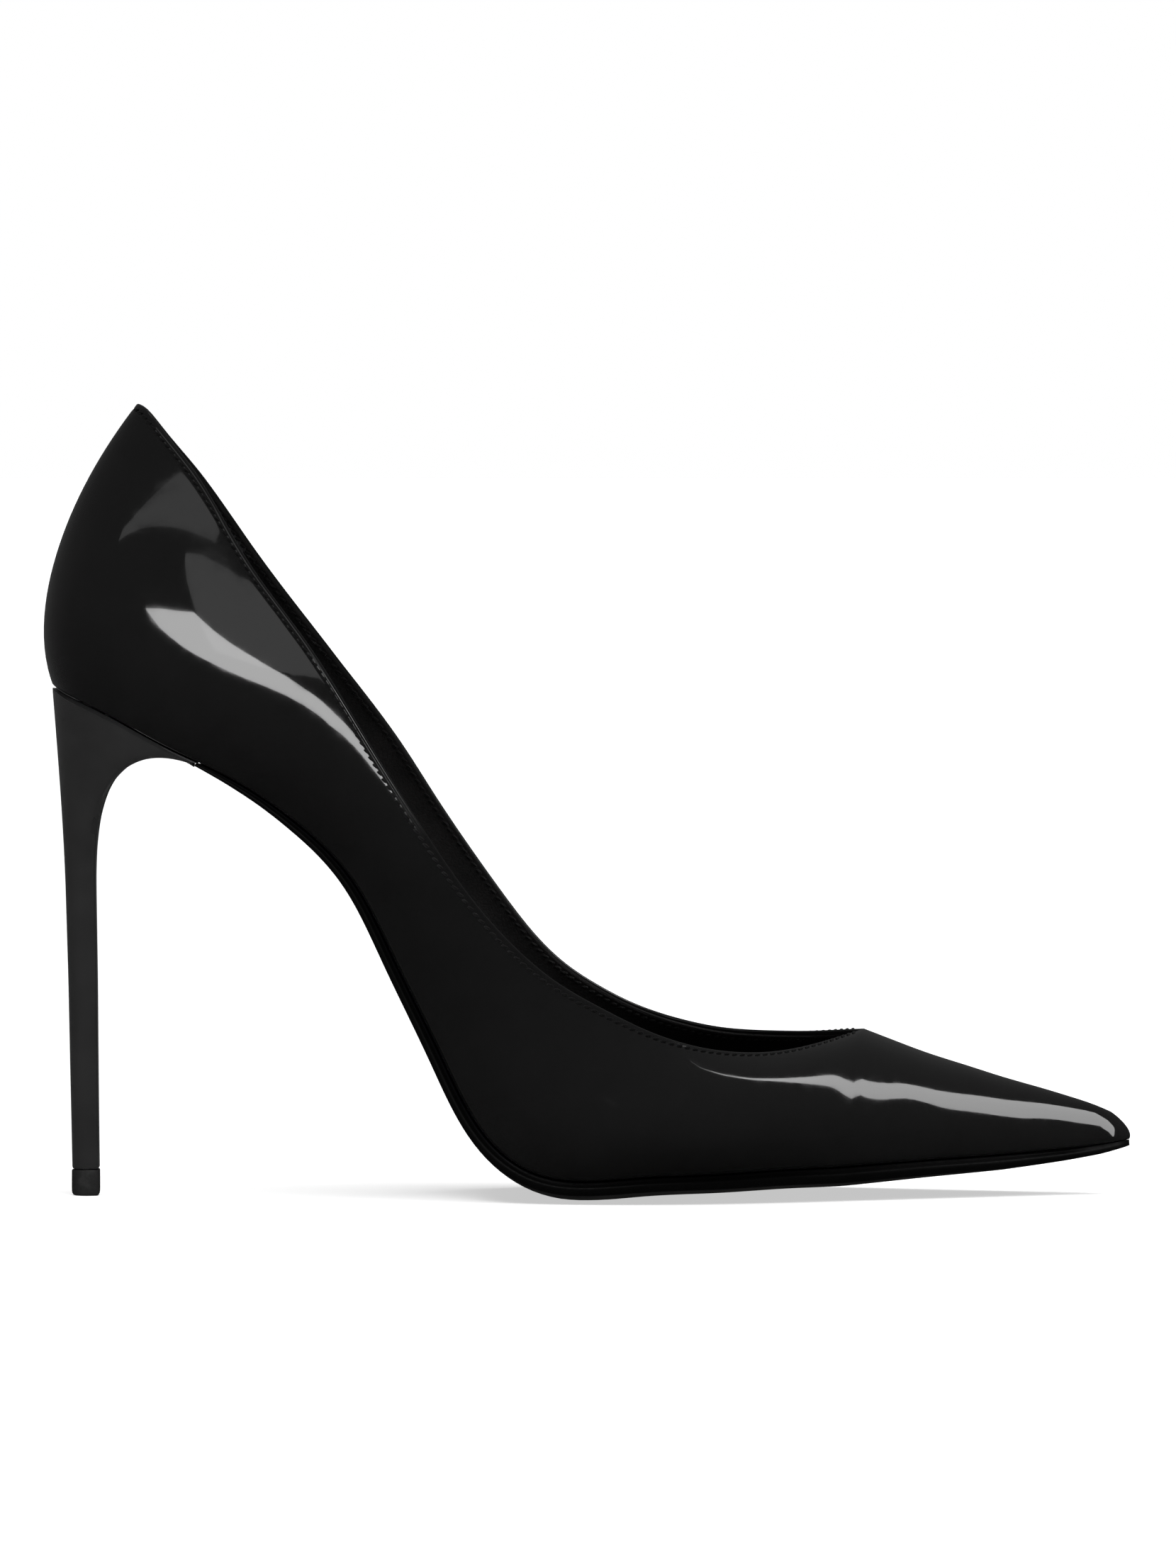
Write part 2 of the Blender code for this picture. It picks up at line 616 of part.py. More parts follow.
def seat_point(turn, side):
    if turn <= 1:
        v_front = v_of(HEEL_FRONT)
        feather = rails_at(np.array([v_front * turn]))[0]
    else:
        feather = rails_at(np.array([v_of(HEEL_FRONT)]))[0]
        feather[0, 1] *= 2 - turn
        feather[0, 0] -= 0.5 * (turn - 1)
    return lift(feather, -SEAT_DROP)[0]


def stem_section(turn, back, front, half):
    """A point of the stem's outline: a round back, straight sides and a flat front."""
    if turn <= 1:
        x = back + (front - back) * (1 - math.cos(math.pi * turn / 2))
        y = half * math.sin(math.pi / 2 * min(1, 1.5 * turn)) * (1 - 0.2 * max(0, (turn - 0.6) / 0.4) ** 2)
    else:
        x = front
        y = 0.8 * half * (2 - turn)
    return x, y


def bezier(points, t):
    first, second, third, fourth = points
    s = 1 - t
    return s**3 * first + 3 * s * s * t * second + 3 * s * t * t * third + t**3 * fourth


def interpolated(table, turn):
    turns, *axes = zip(*table)
    return np.array([np.interp(turn, turns, sizes) for sizes in axes])


def heel_form():
    """The heel's skin as points (ring, way round, xyz), from the seat to the bottom of the stem."""
    lines = []
    for turn, side in heel_round():
        seat = seat_point(turn, side)
        top_z, back, front, half = STEM[0]
        x, y = stem_section(turn, back, front, half)
        stem = np.array([x, y, top_z])
        control = (seat, seat + interpolated(LEAVING, turn), stem + interpolated(ARRIVING, turn), stem)
        line = [bezier(control, t) for t in np.linspace(0, 1, HEEL_TURNS)]
        for z, back, front, half in STEM[1:]:
            x, y = stem_section(turn, back, front, half)
            line.append(np.array([x, y, z]))
        line = np.array(line)
        line[:, 1] *= side
        line[:, 1] += along(SWING, line[:, 0]) + FRAME_SHIFT_Y
        lines.append(line)
    return np.swapaxes(np.array(lines), 0, 1)


def ring_faces(rings, around):
    faces = []
    for ring in range(rings - 1):
        for i in range(around):
            following = (i + 1) % around
            corner = ring * around
            far = corner + around + following
            faces.append([corner + i, corner + following, far])
            faces.append([corner + i, far, corner + around + i])
    return faces


def ring_normals(form):
    """Unit normals of a tube of rings, pointing out."""
    around = np.roll(form, -1, axis=1) - np.roll(form, 1, axis=1)
    down = np.gradient(form, axis=0)
    normals = np.cross(down, around)
    normals /= np.linalg.norm(normals, axis=-1, keepdims=True)
    outward = form - form.mean(axis=1, keepdims=True)
    return normals if (normals * outward).sum() > 0 else -normals


def stem_axis(z):
    """The middle of the stem at height z, where tube and pin run."""
    middle = [(row[0], (row[1] + row[2]) / 2) for row in STEM[::-1]]
    x = np.interp(z, [row[0] for row in middle], [row[1] for row in middle])
    return np.array([x, along(SWING, np.array([x]))[0] + FRAME_SHIFT_Y, z])


def rod(name, start, end, radius, look, sides=16, hidden=False):
    """A round bar between two points."""
    start, end = np.asarray(start, float), np.asarray(end, float)
    axis = end - start
    length = np.linalg.norm(axis)
    axis /= length
    across = np.cross(axis, (0, 1, 0))
    across /= np.linalg.norm(across)
    other = np.cross(axis, across)
    points = []
    for centre in (start, end):
        for i in range(sides):
            angle = 2 * math.pi * i / sides
            points.append(centre + radius * (math.cos(angle) * across + math.sin(angle) * other))
    faces = ring_faces(2, sides) + [list(range(sides))[::-1], list(range(sides, 2 * sides))]
    made = add_object(name, points, faces, look)
    if hidden:
        make_cutter(made)
    return made


def make_cutter(made):
    collection("high_heel_pump").objects.unlink(made)
    collection("cutters").objects.link(made)
    made.hide_render = True
    made.display_type = "WIRE"


def cut(target, cutter):
    modifier = target.modifiers.new("cut_" + cutter.name, "BOOLEAN")
    modifier.operation = "DIFFERENCE"
    modifier.object = cutter


def seat_cap():
    """The heel's top face: strips from side to side, and one face along the breast."""
    strips = [[i + 1, i, SEAT_POINTS - 1 - i, SEAT_POINTS - 2 - i] for i in range(1, SEAT_POINTS // 2 - 1)]
    middle = SEAT_POINTS // 2
    around = SEAT_POINTS + BREAST_POINTS
    front = [1, 0] + list(range(around - 1, SEAT_POINTS - 3, -1))
    return strips + [[middle, middle - 1, middle + 1], front]


def capped(form, name, look, seat=False):
    """A closed solid from rings, with a face at each end."""
    rings, around = form.shape[:2]
    last = (rings - 1) * around
    caps = [list(range(around))[::-1], list(range(last, last + around))]
    if seat:
        caps[:1] = seat_cap()
    return add_object(name, form.reshape(-1, 3), ring_faces(rings, around) + caps, look)


def make_heel():
    plastic = material("heel_plastic", (0.05, 0.05, 0.05), 0.5)
    steel = material("steel", (0.55, 0.55, 0.57), 0.3, metallic=1.0)
    form = heel_form()
    normals = ring_normals(form)
    inner = form - normals * HEEL_COVER_THICK
    faces = ring_faces(*form.shape[:2])
    sheet_solid("heel_cover", form.reshape(-1, 3), inner.reshape(-1, 3), faces, patent())
    core = capped(form - normals * (HEEL_COVER_THICK + GAP / 2), "heel_core", plastic, seat=True)
    bore = rod("core_bore", stem_axis(2.0), stem_axis(TUBE_TOP + 0.4), CORE_BORE, plastic, hidden=True)
    cut(core, bore)
    tube = rod("heel_tube", stem_axis(TUBE_BOTTOM), stem_axis(TUBE_TOP), TUBE_RADIUS, steel)
    tube_bore = rod("tube_bore", stem_axis(2.0), stem_axis(TUBE_TOP + 3), TUBE_BORE, steel, hidden=True)
    cut(tube, tube_bore)
    rod("top_lift_pin", stem_axis(PIN_BOTTOM), stem_axis(PIN_TOP), PIN_RADIUS, steel, sides=12)
    make_top_lift()
    return core


def make_top_lift():
    rubber = material("top_lift_rubber", (0.02, 0.02, 0.02), 0.7)
    z, back, front, half = STEM[-1]
    rings = []
    for level, inset in ((LIFT_HEIGHT, 0.0), (0.7, 0.0), (0.0, 0.45)):
        ring = []
        for turn, side in heel_round():
            x, y = stem_section(turn, back + inset, front - inset * 0.5, half - inset)
            ring.append((x, side * y + along(SWING, np.array([x]))[0] + FRAME_SHIFT_Y, level))
        rings.append(ring)
    lift_piece = capped(np.array(rings), "top_lift", rubber)
    bottom, top = stem_axis(PIN_BOTTOM - 0.3), stem_axis(LIFT_HEIGHT + 1)
    socket = rod("lift_socket", bottom, top, PIN_RADIUS + 0.2, rubber, sides=12, hidden=True)
    cut(lift_piece, socket)


# ---- fasteners ----

BOARD_TOP = 4.4
HEAD_THICK = 0.6

# name, x, y, how far it goes down past the underside, shaft radius, head radius
HEEL_FASTENERS = (
    ("heel_screw", -96.5, 0.0, 15.0, 1.5, 3.0),
    ("heel_nail_1", -104.5, 0.0, 9.0, 0.75, 1.7),
    ("heel_nail_2", -98.5, -8.5, 8.5, 0.75, 1.7),
    ("heel_nail_3", -98.5, 8.5, 8.5, 0.75, 1.7),
    ("heel_nail_4", -90.0, 0.0, 3.4, 0.75, 1.7),
)
SHANK_RIVETS = (
    ("shank_rivet_1", -78.0, 0.0, -0.2, 1.3, 2.6),
    ("shank_rivet_2", -17.0, 0.0, -0.2, 1.3, 2.6),
)


def fastener(name, x, y, reach, radius, head_radius, look):
    """A nail, screw or rivet square to the underside: a head on the shank board and a shaft below it."""
    point, normal = bottom_frame(x)
    point = point + (0, y, 0)
    base = point - normal * reach
    under = point + normal * (BOARD_TOP + 0.35)
    top = under + normal * HEAD_THICK
    sides = 12
    across = np.cross(normal, (0, 1, 0))
    other = np.cross(normal, across)
    point_length = min(1.2, 2 * radius)
    profile = (
        (base, 0.75 * radius), (base + normal * point_length, radius), (under, radius),
        (under, head_radius), (top, 0.9 * head_radius),
    )
    rings = []
    for centre, size in profile:
        angles = 2 * math.pi * np.arange(sides) / sides
        rings.append([centre + size * (math.cos(a) * across + math.sin(a) * other) for a in angles])
    made = capped(np.array(rings), name, look)
    hole = rod(name + "_hole", base - normal * 0.4, top + normal, radius + 0.2, look, 12, True)
    return made, hole


def make_fasteners(core):
    steel = material("steel", (0.55, 0.55, 0.57), 0.3, metallic=1.0)
    boards = [bpy.data.objects[name] for name in ("insole_board", "shank_board")]
    for sizes in HEEL_FASTENERS:
        _, hole = fastener(*sizes, steel)
        for target in boards + [core, bpy.data.objects["upper"]]:
            cut(target, hole)
    for sizes in SHANK_RIVETS:
        _, hole = fastener(*sizes, steel)
        for target in boards + [bpy.data.objects["steel_shank"]]:
            cut(target, hole)


def clear_scene():
    for made in list(bpy.data.objects):
        bpy.data.objects.remove(made)


clear_scene()
make_upper()
make_linings()
make_stiffeners()
make_topline_thread()
make_boards()
make_fasteners(make_heel())
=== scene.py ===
"""High heel pump: the visible surfaces, materials, camera and light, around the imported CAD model.

The upper, lining, sole and heel are rebuilt finely from the CAD model's own rails, in millimetres in the
row frame: +X to the toe, +Y to the inner side of the foot, +Z up.
"""

import math

import bpy
import numpy as np
from mathutils import Matrix, Vector


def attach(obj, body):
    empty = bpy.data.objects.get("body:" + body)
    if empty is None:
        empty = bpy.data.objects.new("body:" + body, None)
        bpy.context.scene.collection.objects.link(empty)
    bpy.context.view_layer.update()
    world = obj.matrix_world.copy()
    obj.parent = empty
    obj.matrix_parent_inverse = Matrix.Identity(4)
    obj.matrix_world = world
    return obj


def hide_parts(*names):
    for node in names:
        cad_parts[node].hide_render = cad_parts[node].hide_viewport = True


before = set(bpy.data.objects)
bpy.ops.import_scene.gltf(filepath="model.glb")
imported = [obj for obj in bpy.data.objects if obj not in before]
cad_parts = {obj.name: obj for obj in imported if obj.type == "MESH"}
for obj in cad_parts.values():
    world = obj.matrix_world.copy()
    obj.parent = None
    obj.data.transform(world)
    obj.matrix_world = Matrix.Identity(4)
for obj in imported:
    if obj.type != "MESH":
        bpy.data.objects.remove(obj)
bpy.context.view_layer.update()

MM = 0.001
FRAME_SHIFT_Y = -0.17
THREAD_RADIUS = 0.33
LASTING_MARGIN = 11.0

# Four rails from the back seam to the toe tip, each point (x, half-width, z): the feather edge where
# the upper meets the sole, two control rails that give the side wall its swell, and the topline,
# which beyond the throat becomes the ridge of the vamp.
FEATHER = (
    (-110.4, 0, 105.3), (-109.3, 7.5, 104.8), (-105.8, 14.5, 103.2), (-98, 20.5, 99.5),
    (-87, 23, 93.6), (-73, 22, 86.6), (-60, 20.5, 77.8), (-48.5, 20, 66.1),
    (-39.4, 20.5, 48.9), (-29.6, 23, 29), (-20.5, 27.4, 13.2), (-9, 31.8, 5.8),
    (11, 34.8, 5.7), (25, 33.6, 6.2), (39, 29.6, 6.9), (46, 27, 7.1),
    (53, 24, 7.3), (62, 20.5, 7.8), (69.3, 17.5, 8.2), (78, 14, 8.6),
    (86, 11, 9), (94, 7.9, 9.5), (100.5, 5.6, 10), (106.6, 3.5, 10.6),
    (110.2, 2, 11.1), (112, 0, 11.4),
)
LOWER_RAIL = (
    (-116, 0, 119.3), (-114.6, 8.5, 119), (-110, 17.5, 118), (-100.5, 25, 114.8),
    (-84.5, 28, 106.5), (-68, 27.5, 94.8), (-55.5, 26.5, 82), (-44, 26, 68.6),
    (-34, 26.5, 50.5), (-23, 30, 33), (-14, 35, 21), (-3, 39.5, 14.5),
    (14, 42, 13.5), (27, 40.5, 13.5), (40, 36.2, 14), (47, 32.8, 14.7),
    (54, 28.8, 15.6), (62.5, 23.5, 16.6), (69.5, 20.3, 17), (78, 16.2, 16.6),
    (86, 12.6, 16), (94, 9.2, 15.2), (100.5, 6.6, 14.6), (107, 4.2, 13.6),
    (111, 2.4, 12.9), (112.9, 0, 12.6),
)
UPPER_RAIL = (
    (-109.4, 0, 142.8), (-108, 5.8, 142.3), (-103, 12.5, 140), (-93.3, 19, 133),
    (-76, 22.5, 119), (-62.3, 24.5, 104), (-50, 26, 87.8), (-39, 27, 72.4),
    (-28, 28, 54.8), (-15.5, 30.5, 39), (-6, 33, 31.5), (4.5, 34.8, 26.8),
    (18.5, 34.6, 24.8), (29.5, 31, 25), (41.5, 26, 27), (48.5, 21.5, 29.6),
    (56, 16.2, 32.6), (63, 12.8, 31.2), (70.1, 10.6, 28.8), (78.5, 8.6, 26.1),
    (86, 6.8, 23.8), (94, 5, 21.5), (100, 3.8, 19.8), (104.4, 2.7, 18.6),
    (107.6, 1.6, 17.2), (111.2, 0, 14.9),
)
TOPLINE = (
    (-92.9, 0, 163.7), (-91.4, 3.6, 162.8), (-87.4, 7.6, 158), (-80, 12, 148.4),
    (-70, 16.8, 131.5), (-57, 21.3, 113.3), (-44.8, 24, 93.4), (-33.5, 25.6, 75.2),
    (-21.6, 26.7, 58.4), (-8, 27.3, 45.1), (2, 26.8, 39), (11, 25.6, 34.5),
    (23, 22.6, 30.5), (32, 19.2, 29.4), (42.6, 13.6, 30.3), (49.9, 7.8, 32.2),
    (57, 0, 34.4),
)
RIDGE = (
    (57, 0, 34.4), (63.2, 0, 32), (70.1, 0, 29.4), (78.5, 0, 26.7),
    (86, 0, 24.3), (94, 0, 22), (99.6, 0, 20.3), (103.6, 0, 19),
    (106.2, 0, 18), (108.2, 0, 17.1),
)

# Where the shoe's centre line lies across its length: the waist leans outwards, the toe inwards.
SWING = ((-112, 0), (-70, -0.4), (-35, -1.6), (0, -0.6), (30, 0.8), (60, 2), (90, 3), (113, 3.5))
# The inner side's half-width over the outer side's: cut in at the waist, fuller ahead of the ball.
MEDIAL = ((-112, 1), (-75, 0.98), (-35, 0.9), (-5, 0.97), (25, 1.03), (60, 1.02), (113, 1))
# How much higher the topline stands than its rail, on the outer and the inner side, at topline x.
OUTER_RISE = ((-93, 0), (-78, 0.3), (-52, 0.8), (-27, 1.3), (-7, 1.5), (20, 1.4), (41, 0.9), (57, 0))
INNER_RISE = (
    (-93, 0), (-85, 0.1), (-78, 1.1), (-71, 3.1), (-65, 3.6), (-58, 3.9), (-51, 5.6), (-45, 8),
    (-38, 9.7), (-32, 9.6), (-25, 9.2), (-18, 7.8), (-12, 5.9), (-5, 4.3), (1, 3.7), (8, 3.6),
    (14, 3.9), (21, 4.2), (28, 4.2), (34, 4.1), (41, 3.4), (47, 2.2), (54, 0.7), (57, 0),
)
UPPER_RAIL_SHARE = 0.55
# How far the sole's middle hangs below its edges.
CROWN = (
    (-112, 0), (-79, 0), (-48, 0.5), (-20, 1.4), (-2, 2.5),
    (11, 2.5), (53, 1.8), (85, 0.8), (112, 0),
)

# The stiletto: the stem's back and front x, and its half-width, at heights z.
STEM = (
    (62, -107.9, -101.6, 4.3), (45, -107.4, -101.35, 4.15),
    (25, -107, -101.2, 4), (5.6, -106.6, -101, 3.9),
)
HEEL_FRONT = -79.6


def smooth_curve(points, knots, at):
    """A natural cubic spline through the points, read at the given parameters."""
    points = np.asarray(points, float)
    steps = np.diff(knots)
    count = len(points)
    matrix = np.eye(count)
    right = np.zeros(points.shape)
    for i in range(1, count - 1):
        matrix[i, i - 1 : i + 2] = steps[i - 1], 2 * (steps[i - 1] + steps[i]), steps[i]
        ahead = (points[i + 1] - points[i]) / steps[i]
        behind = (points[i] - points[i - 1]) / steps[i - 1]
        right[i] = 6 * (ahead - behind)
    bend = np.linalg.solve(matrix, right)
    at = np.clip(at, knots[0], knots[-1])
    i = np.clip(np.searchsorted(knots, at, side="right") - 1, 0, count - 2)
    step = steps[i][:, None]
    before = (knots[i + 1] - at)[:, None]
    after = (at - knots[i])[:, None]
    cubic = (bend[i] * before**3 + bend[i + 1] * after**3) / (6 * step)
    first = (points[i] / step - bend[i] * step / 6) * before
    second = (points[i + 1] / step - bend[i + 1] * step / 6) * after
    return cubic + first + second


def mirrored_ends(points, knots, reach=3):
    """Repeats the first points beyond the centre plane, so that the spline crosses it square."""
    points = np.asarray(points, float)
    ghosts = points[1 : reach + 1][::-1] * (1, -1, 1)
    return np.concatenate([ghosts, points]), np.concatenate([-knots[1 : reach + 1][::-1], knots])


def station_knots():
    """One parameter for every station of the rails: the mean way along feather edge and topline."""
    steps = np.zeros(len(FEATHER) - 1)
    for rail in (FEATHER, TOPLINE + RIDGE[1:]):
        steps += np.linalg.norm(np.diff(np.asarray(rail), axis=0), axis=1) / 2
    return np.concatenate([[0], np.cumsum(steps)])


KNOTS = station_knots()
THROAT = KNOTS[len(TOPLINE) - 1]


def before_throat(v):
    return v < THROAT - 1e-6


def rails_at(v):
    """The four rails at parameters v: an array (rail, v, xyz)."""
    rails = [smooth_curve(*mirrored_ends(rail, KNOTS), v) for rail in (FEATHER, LOWER_RAIL, UPPER_RAIL)]
    top = smooth_curve(*mirrored_ends(TOPLINE, KNOTS[: len(TOPLINE)]), v)
    ridge = smooth_curve(RIDGE, KNOTS[len(TOPLINE) - 1 :], v)
    rails.append(np.where(before_throat(v)[:, None], top, ridge))
    return np.array(rails)


def along(table, x):
    """A size that changes along the shoe, eased between the table's (x, size) pairs."""
    keys = np.array([row[0] for row in table], float)
    sizes = np.array([[row[1]] for row in table], float)
    x = np.asarray(x, float)
    return smooth_curve(sizes, keys, x.reshape(-1))[:, 0].reshape(x.shape)


def between(table, x):
    """A size that changes along the shoe, straight between the table's (x, size) pairs."""
    return np.interp(x, *zip(*table))


def side_rails(v, side):
    """The rails of the outer (-1) or the inner (+1) side: the topline stands higher on the inner one."""
    rails = rails_at(v)
    rise = along(INNER_RISE if side > 0 else OUTER_RISE, rails[3][:, 0])
    rise = np.where((v > 0) & before_throat(v), rise, 0.0)
    rails[3][:, 2] += rise
    rails[2][:, 2] += UPPER_RAIL_SHARE * rise
    return rails


def placed(points, side):
    """Half-form points (x, half-width, z) put on the shoe's outer (-1) or inner (+1) side."""
    x = points[..., 0]
    fuller = along(MEDIAL, x) if side > 0 else 1.0
    y = along(SWING, x) + side * points[..., 1] * fuller + FRAME_SHIFT_Y
    return np.stack([x, y, points[..., 2]], axis=-1)


FINE_V = np.linspace(0, KNOTS[-1], 600)
FINE_FEATHER = rails_at(FINE_V)[0]


def v_of(x):
    """The rails' parameter where the feather edge has this x."""
    return np.interp(x, FINE_FEATHER[:, 0], FINE_V)


def half_width(x):
    return np.interp(x, FINE_FEATHER[:, 0], FINE_FEATHER[:, 1])


def feather_height(x):
    return np.interp(x, FINE_FEATHER[:, 0], FINE_FEATHER[:, 2])


# ---- the outer form as a fine surface ----

BACK_STEPS = (0.0, 0.12, 0.3, 0.55, 0.95)
BACK_GAP = 0.3
COLUMN_EASE = 0.05
SECTION_POINTS = 81
COLUMNS = 150
WALL_ROWS = 44
STITCH_DROP = 1.5
STITCH_PITCH = 1.75


def fine_columns(start, end):
    """Rail parameters along the shoe, closest together at the back seam and at the toe."""
    share = np.linspace(0, 1, COLUMNS)
    eased = share + COLUMN_EASE * np.sin(2 * math.pi * share) / (2 * math.pi)
    v = start + (end - start) * eased
    if start == 0:
        v = np.concatenate([BACK_STEPS, v[v > BACK_STEPS[-1] + BACK_GAP]])
    return np.unique(np.append(v, THROAT)) if start < THROAT < end else v


def way_along(path):
    """How far along a path each of its points lies."""
    return np.concatenate([[0], np.cumsum(np.linalg.norm(np.diff(path, axis=0), axis=1))])


def read_path(path, walked, places):
    """What a path holds at these distances along it."""
    return np.stack([np.interp(places, walked, path[:, axis]) for axis in range(3)], axis=-1)


def section_rows(rails, distances_of):
    """Points down each section, at the distances that distances_of(length) gives from its top."""
    t = np.linspace(0, 1, SECTION_POINTS)[:, None, None]
    curve = (
        (1 - t) ** 3 * rails[3]
        + 3 * (1 - t) ** 2 * t * rails[2]
        + 3 * (1 - t) * t**2 * rails[1]
        + t**3 * rails[0]
    )
    found = []
    for column in range(curve.shape[1]):
        section = curve[:, column]
        walked = way_along(section)
        found.append(read_path(section, walked, distances_of(walked[-1])))
    return np.array(found)


def grid_faces(columns, rows):
    """Quads of the two half grids, each turned the same way out."""
    i, j = np.meshgrid(np.arange(columns - 1), np.arange(rows - 1), indexing="ij")
    corner = (i * rows + j).ravel()
    quads = np.stack([corner, corner + rows, corner + rows + 1, corner + 1], axis=1)
    return np.concatenate([quads[:, ::-1], quads + columns * rows])


def shared_numbers(points):
    """A number for each point, the same for points that coincide."""
    return np.unique(np.round(points, 3), axis=0, return_inverse=True)[1].reshape(-1)


def weld(points, faces):
    """Joins points that coincide: each point's new number, and the faces that are left."""
    number = shared_numbers(points)
    kept = []
    for face in number[faces]:
        corners = list(dict.fromkeys(face.tolist()))
        if len(corners) > 2:
            kept.append(corners)
    return number, kept


def averaged(values, number):
    total = np.zeros((number.max() + 1, values.shape[-1]))
    np.add.at(total, number, values)
    return total / np.bincount(number)[:, None]


def normals_of(grid):
    """Unit normals, pointing out, of a (side, column, row, xyz) grid."""
    flat = grid.reshape(-1, 3)
    faces = grid_faces(grid.shape[1], grid.shape[2])
    number = shared_numbers(flat)
    corners = flat[faces]
    area = np.cross(corners[:, 2] - corners[:, 0], corners[:, 3] - corners[:, 1])
    total = np.zeros((number.max() + 1, 3))
    for k in range(4):
        np.add.at(total, number[faces[:, k]], area)
    total /= np.maximum(np.linalg.norm(total, axis=1), 1e-9)[:, None]
    return total[number].reshape(grid.shape)


# ---- objects from points ----


def linked(name, data):
    made = bpy.data.objects.new(name, data)
    bpy.context.scene.collection.objects.link(made)
    return made


def add_mesh(name, points, faces, look, smooth_angle):
    """A mesh object from points in mm, faces turned out, riding on the shoe."""
    mesh = bpy.data.meshes.new(name)
    mesh.from_pydata((np.asarray(points) * MM).tolist(), [], [list(map(int, face)) for face in faces])
    mesh.update()
    if signed_volume(np.asarray(points), faces) < 0:
        mesh.flip_normals()
    mesh.shade_smooth()
    mesh.set_sharp_from_angle(angle=math.radians(smooth_angle))
    made = linked(name, mesh)
    mesh.materials.append(look)
    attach(made, "root")
    return made


def signed_volume(points, faces):
    total = 0.0
    for face in faces:
        first = points[face[0]]
        for second, third in zip(face[1:-1], face[2:]):
            total += np.dot(first, np.cross(points[second], points[third]))
    return total


def closed_sheet(name, outer, inner, look, smooth_angle):
    """A closed solid between two (side, column, row, xyz) grids, welded where the halves meet."""
    columns, rows = outer.shape[1:3]
    outer, inner = outer.reshape(-1, 3), inner.reshape(-1, 3)
    number, faces = weld(outer, grid_faces(columns, rows))
    count = number.max() + 1
    points = np.concatenate([averaged(outer, number), averaged(inner, number)])
    directed = {(a, b) for face in faces for a, b in zip(face, face[1:] + face[:1])}
    rim = sorted([b, a, a + count, b + count] for a, b in directed if (b, a) not in directed)
    back = [[corner + count for corner in face[::-1]] for face in faces]
    return add_mesh(name, points, faces + back + rim, look, smooth_angle)


def ring_faces(rings, around):
    i, j = np.meshgrid(np.arange(rings - 1), np.arange(around), indexing="ij")
    corner = (i * around + j).ravel()
    following = (i * around + (j + 1) % around).ravel()
    return np.stack([corner, following, following + around, corner + around], axis=1).tolist()


def tube_faces(rings, around):
    """Faces of a closed tube of rings: its skin, and a face at each end."""
    last = (rings - 1) * around
    caps = [list(range(around))[::-1], list(range(last, last + around))]
    return ring_faces(rings, around) + caps


# ---- upper, lining and stitching ----

TOP_FINE = (0.0, 0.06, 0.18, 0.34, 0.55, 0.8, 1.1, 1.4, 1.65, 1.9, 2.15, 2.4, 2.8, 3.4, 4.3, 5.6, 7.5)
BOTTOM_FINE = (6.0, 3.6, 2.0, 1.1, 0.5)
MARGIN_FINE = ((0.25, 0.1), (0.8, 0.0), (2.0, 0.0), (6.0, 0.0), (LASTING_MARGIN, 0.0))
UPPER_THICK = 1.0
FOLD_RADIUS = UPPER_THICK / 2
LINING_INNER = 1.75
# Walls lower than these draw the rows near their top and their foot together.
TOP_ROOM = 35
FOOT_ROOM = 25
# Stands for "far below the topline" in a row of distances down from it.
FAR_DOWN = 99.0
BACK_X = -110.4
SPINE_SET = 14.0
SPINE_EASE = 16.0
SLOPE_REACH = 0.6


def drawn_in(rows, length, room):
    return np.array(rows) * min(1, length / room)


def upper_distances(length):
    """Distances down a section: fine at the folded edge, the stitching and the feather edge."""
    top = drawn_in(TOP_FINE, length, TOP_ROOM)
    bottom = length - drawn_in(BOTTOM_FINE, length, FOOT_ROOM)
    middle = np.linspace(top[-1], bottom[0], WALL_ROWS - len(TOP_FINE) - len(BOTTOM_FINE) + 2)[1:-1]
    return np.concatenate([top, middle, bottom])


def openness(v):
    """1 where a section ends in the topline, easing to 0 at the throat, where the two sides join."""
    return np.clip((THROAT - v) / 2.5, 0, 1)


def spine_x(x):
    """Where a ring that starts at the feather edge's x ends on the underside's centre line."""
    return x + SPINE_SET * np.exp(-(x - BACK_X) / SPINE_EASE)


def bottom_ring(feather, inward):
    """Half-form points of the underside, part of the way from feather edge (0) to centre line (1)."""
    x = feather[:, 0] + (spine_x(feather[:, 0]) - feather[:, 0]) * inward
    half = feather[:, 1] * (1 - inward)
    share = np.clip(half / np.maximum(half_width(x), 0.01), 0, 1)
    z = feather_height(x) - along(CROWN, x) * (1 - share**2)
    return np.stack([x, half, z], axis=-1)


def reach_inward(feather, distance, most=0.55):
    """The share of the way to the spine that a distance in mm makes."""
    length = np.hypot(spine_x(feather[:, 0]) - feather[:, 0], feather[:, 1])
    return np.minimum(distance / np.maximum(length, 0.01), most)


def feather_rise(x):
    """How much higher the feather edge is SLOPE_REACH ahead of x than as far behind it."""
    return feather_height(x + SLOPE_REACH) - feather_height(x - SLOPE_REACH)


def lift(points, level):
    """Points moved square to the underside, up into the shoe by level."""
    rise = feather_rise(points[..., 0])
    length = np.hypot(rise, 2 * SLOPE_REACH)
    moved = points.copy()
    moved[..., 0] -= level * rise / length
    moved[..., 2] += level * 2 * SLOPE_REACH / length
    return moved


def both_sides(half):
    return np.array([placed(half, -1), placed(half, 1)])


def built_sides(v, rows_of):
    """Both sides of a form, each from its own rails: rows_of(rails) gives half-form points."""
    return np.array([placed(rows_of(side_rails(v, side)), side) for side in (-1, 1)])


def dent(distance, depth, half):
    """A soft dent of this depth and half-width, read at a distance from its middle."""
    return depth * np.exp(-((distance / half) ** 2))


WAVE_HEIGHT = 0.022
WAVE_FADE = 6
# Depth and half-width of the groove that the stitches lie in, and of the seam down the back.
UPPER_GROOVE = (0.07, 0.35)
BACK_SEAM = (0.22, 0.28)


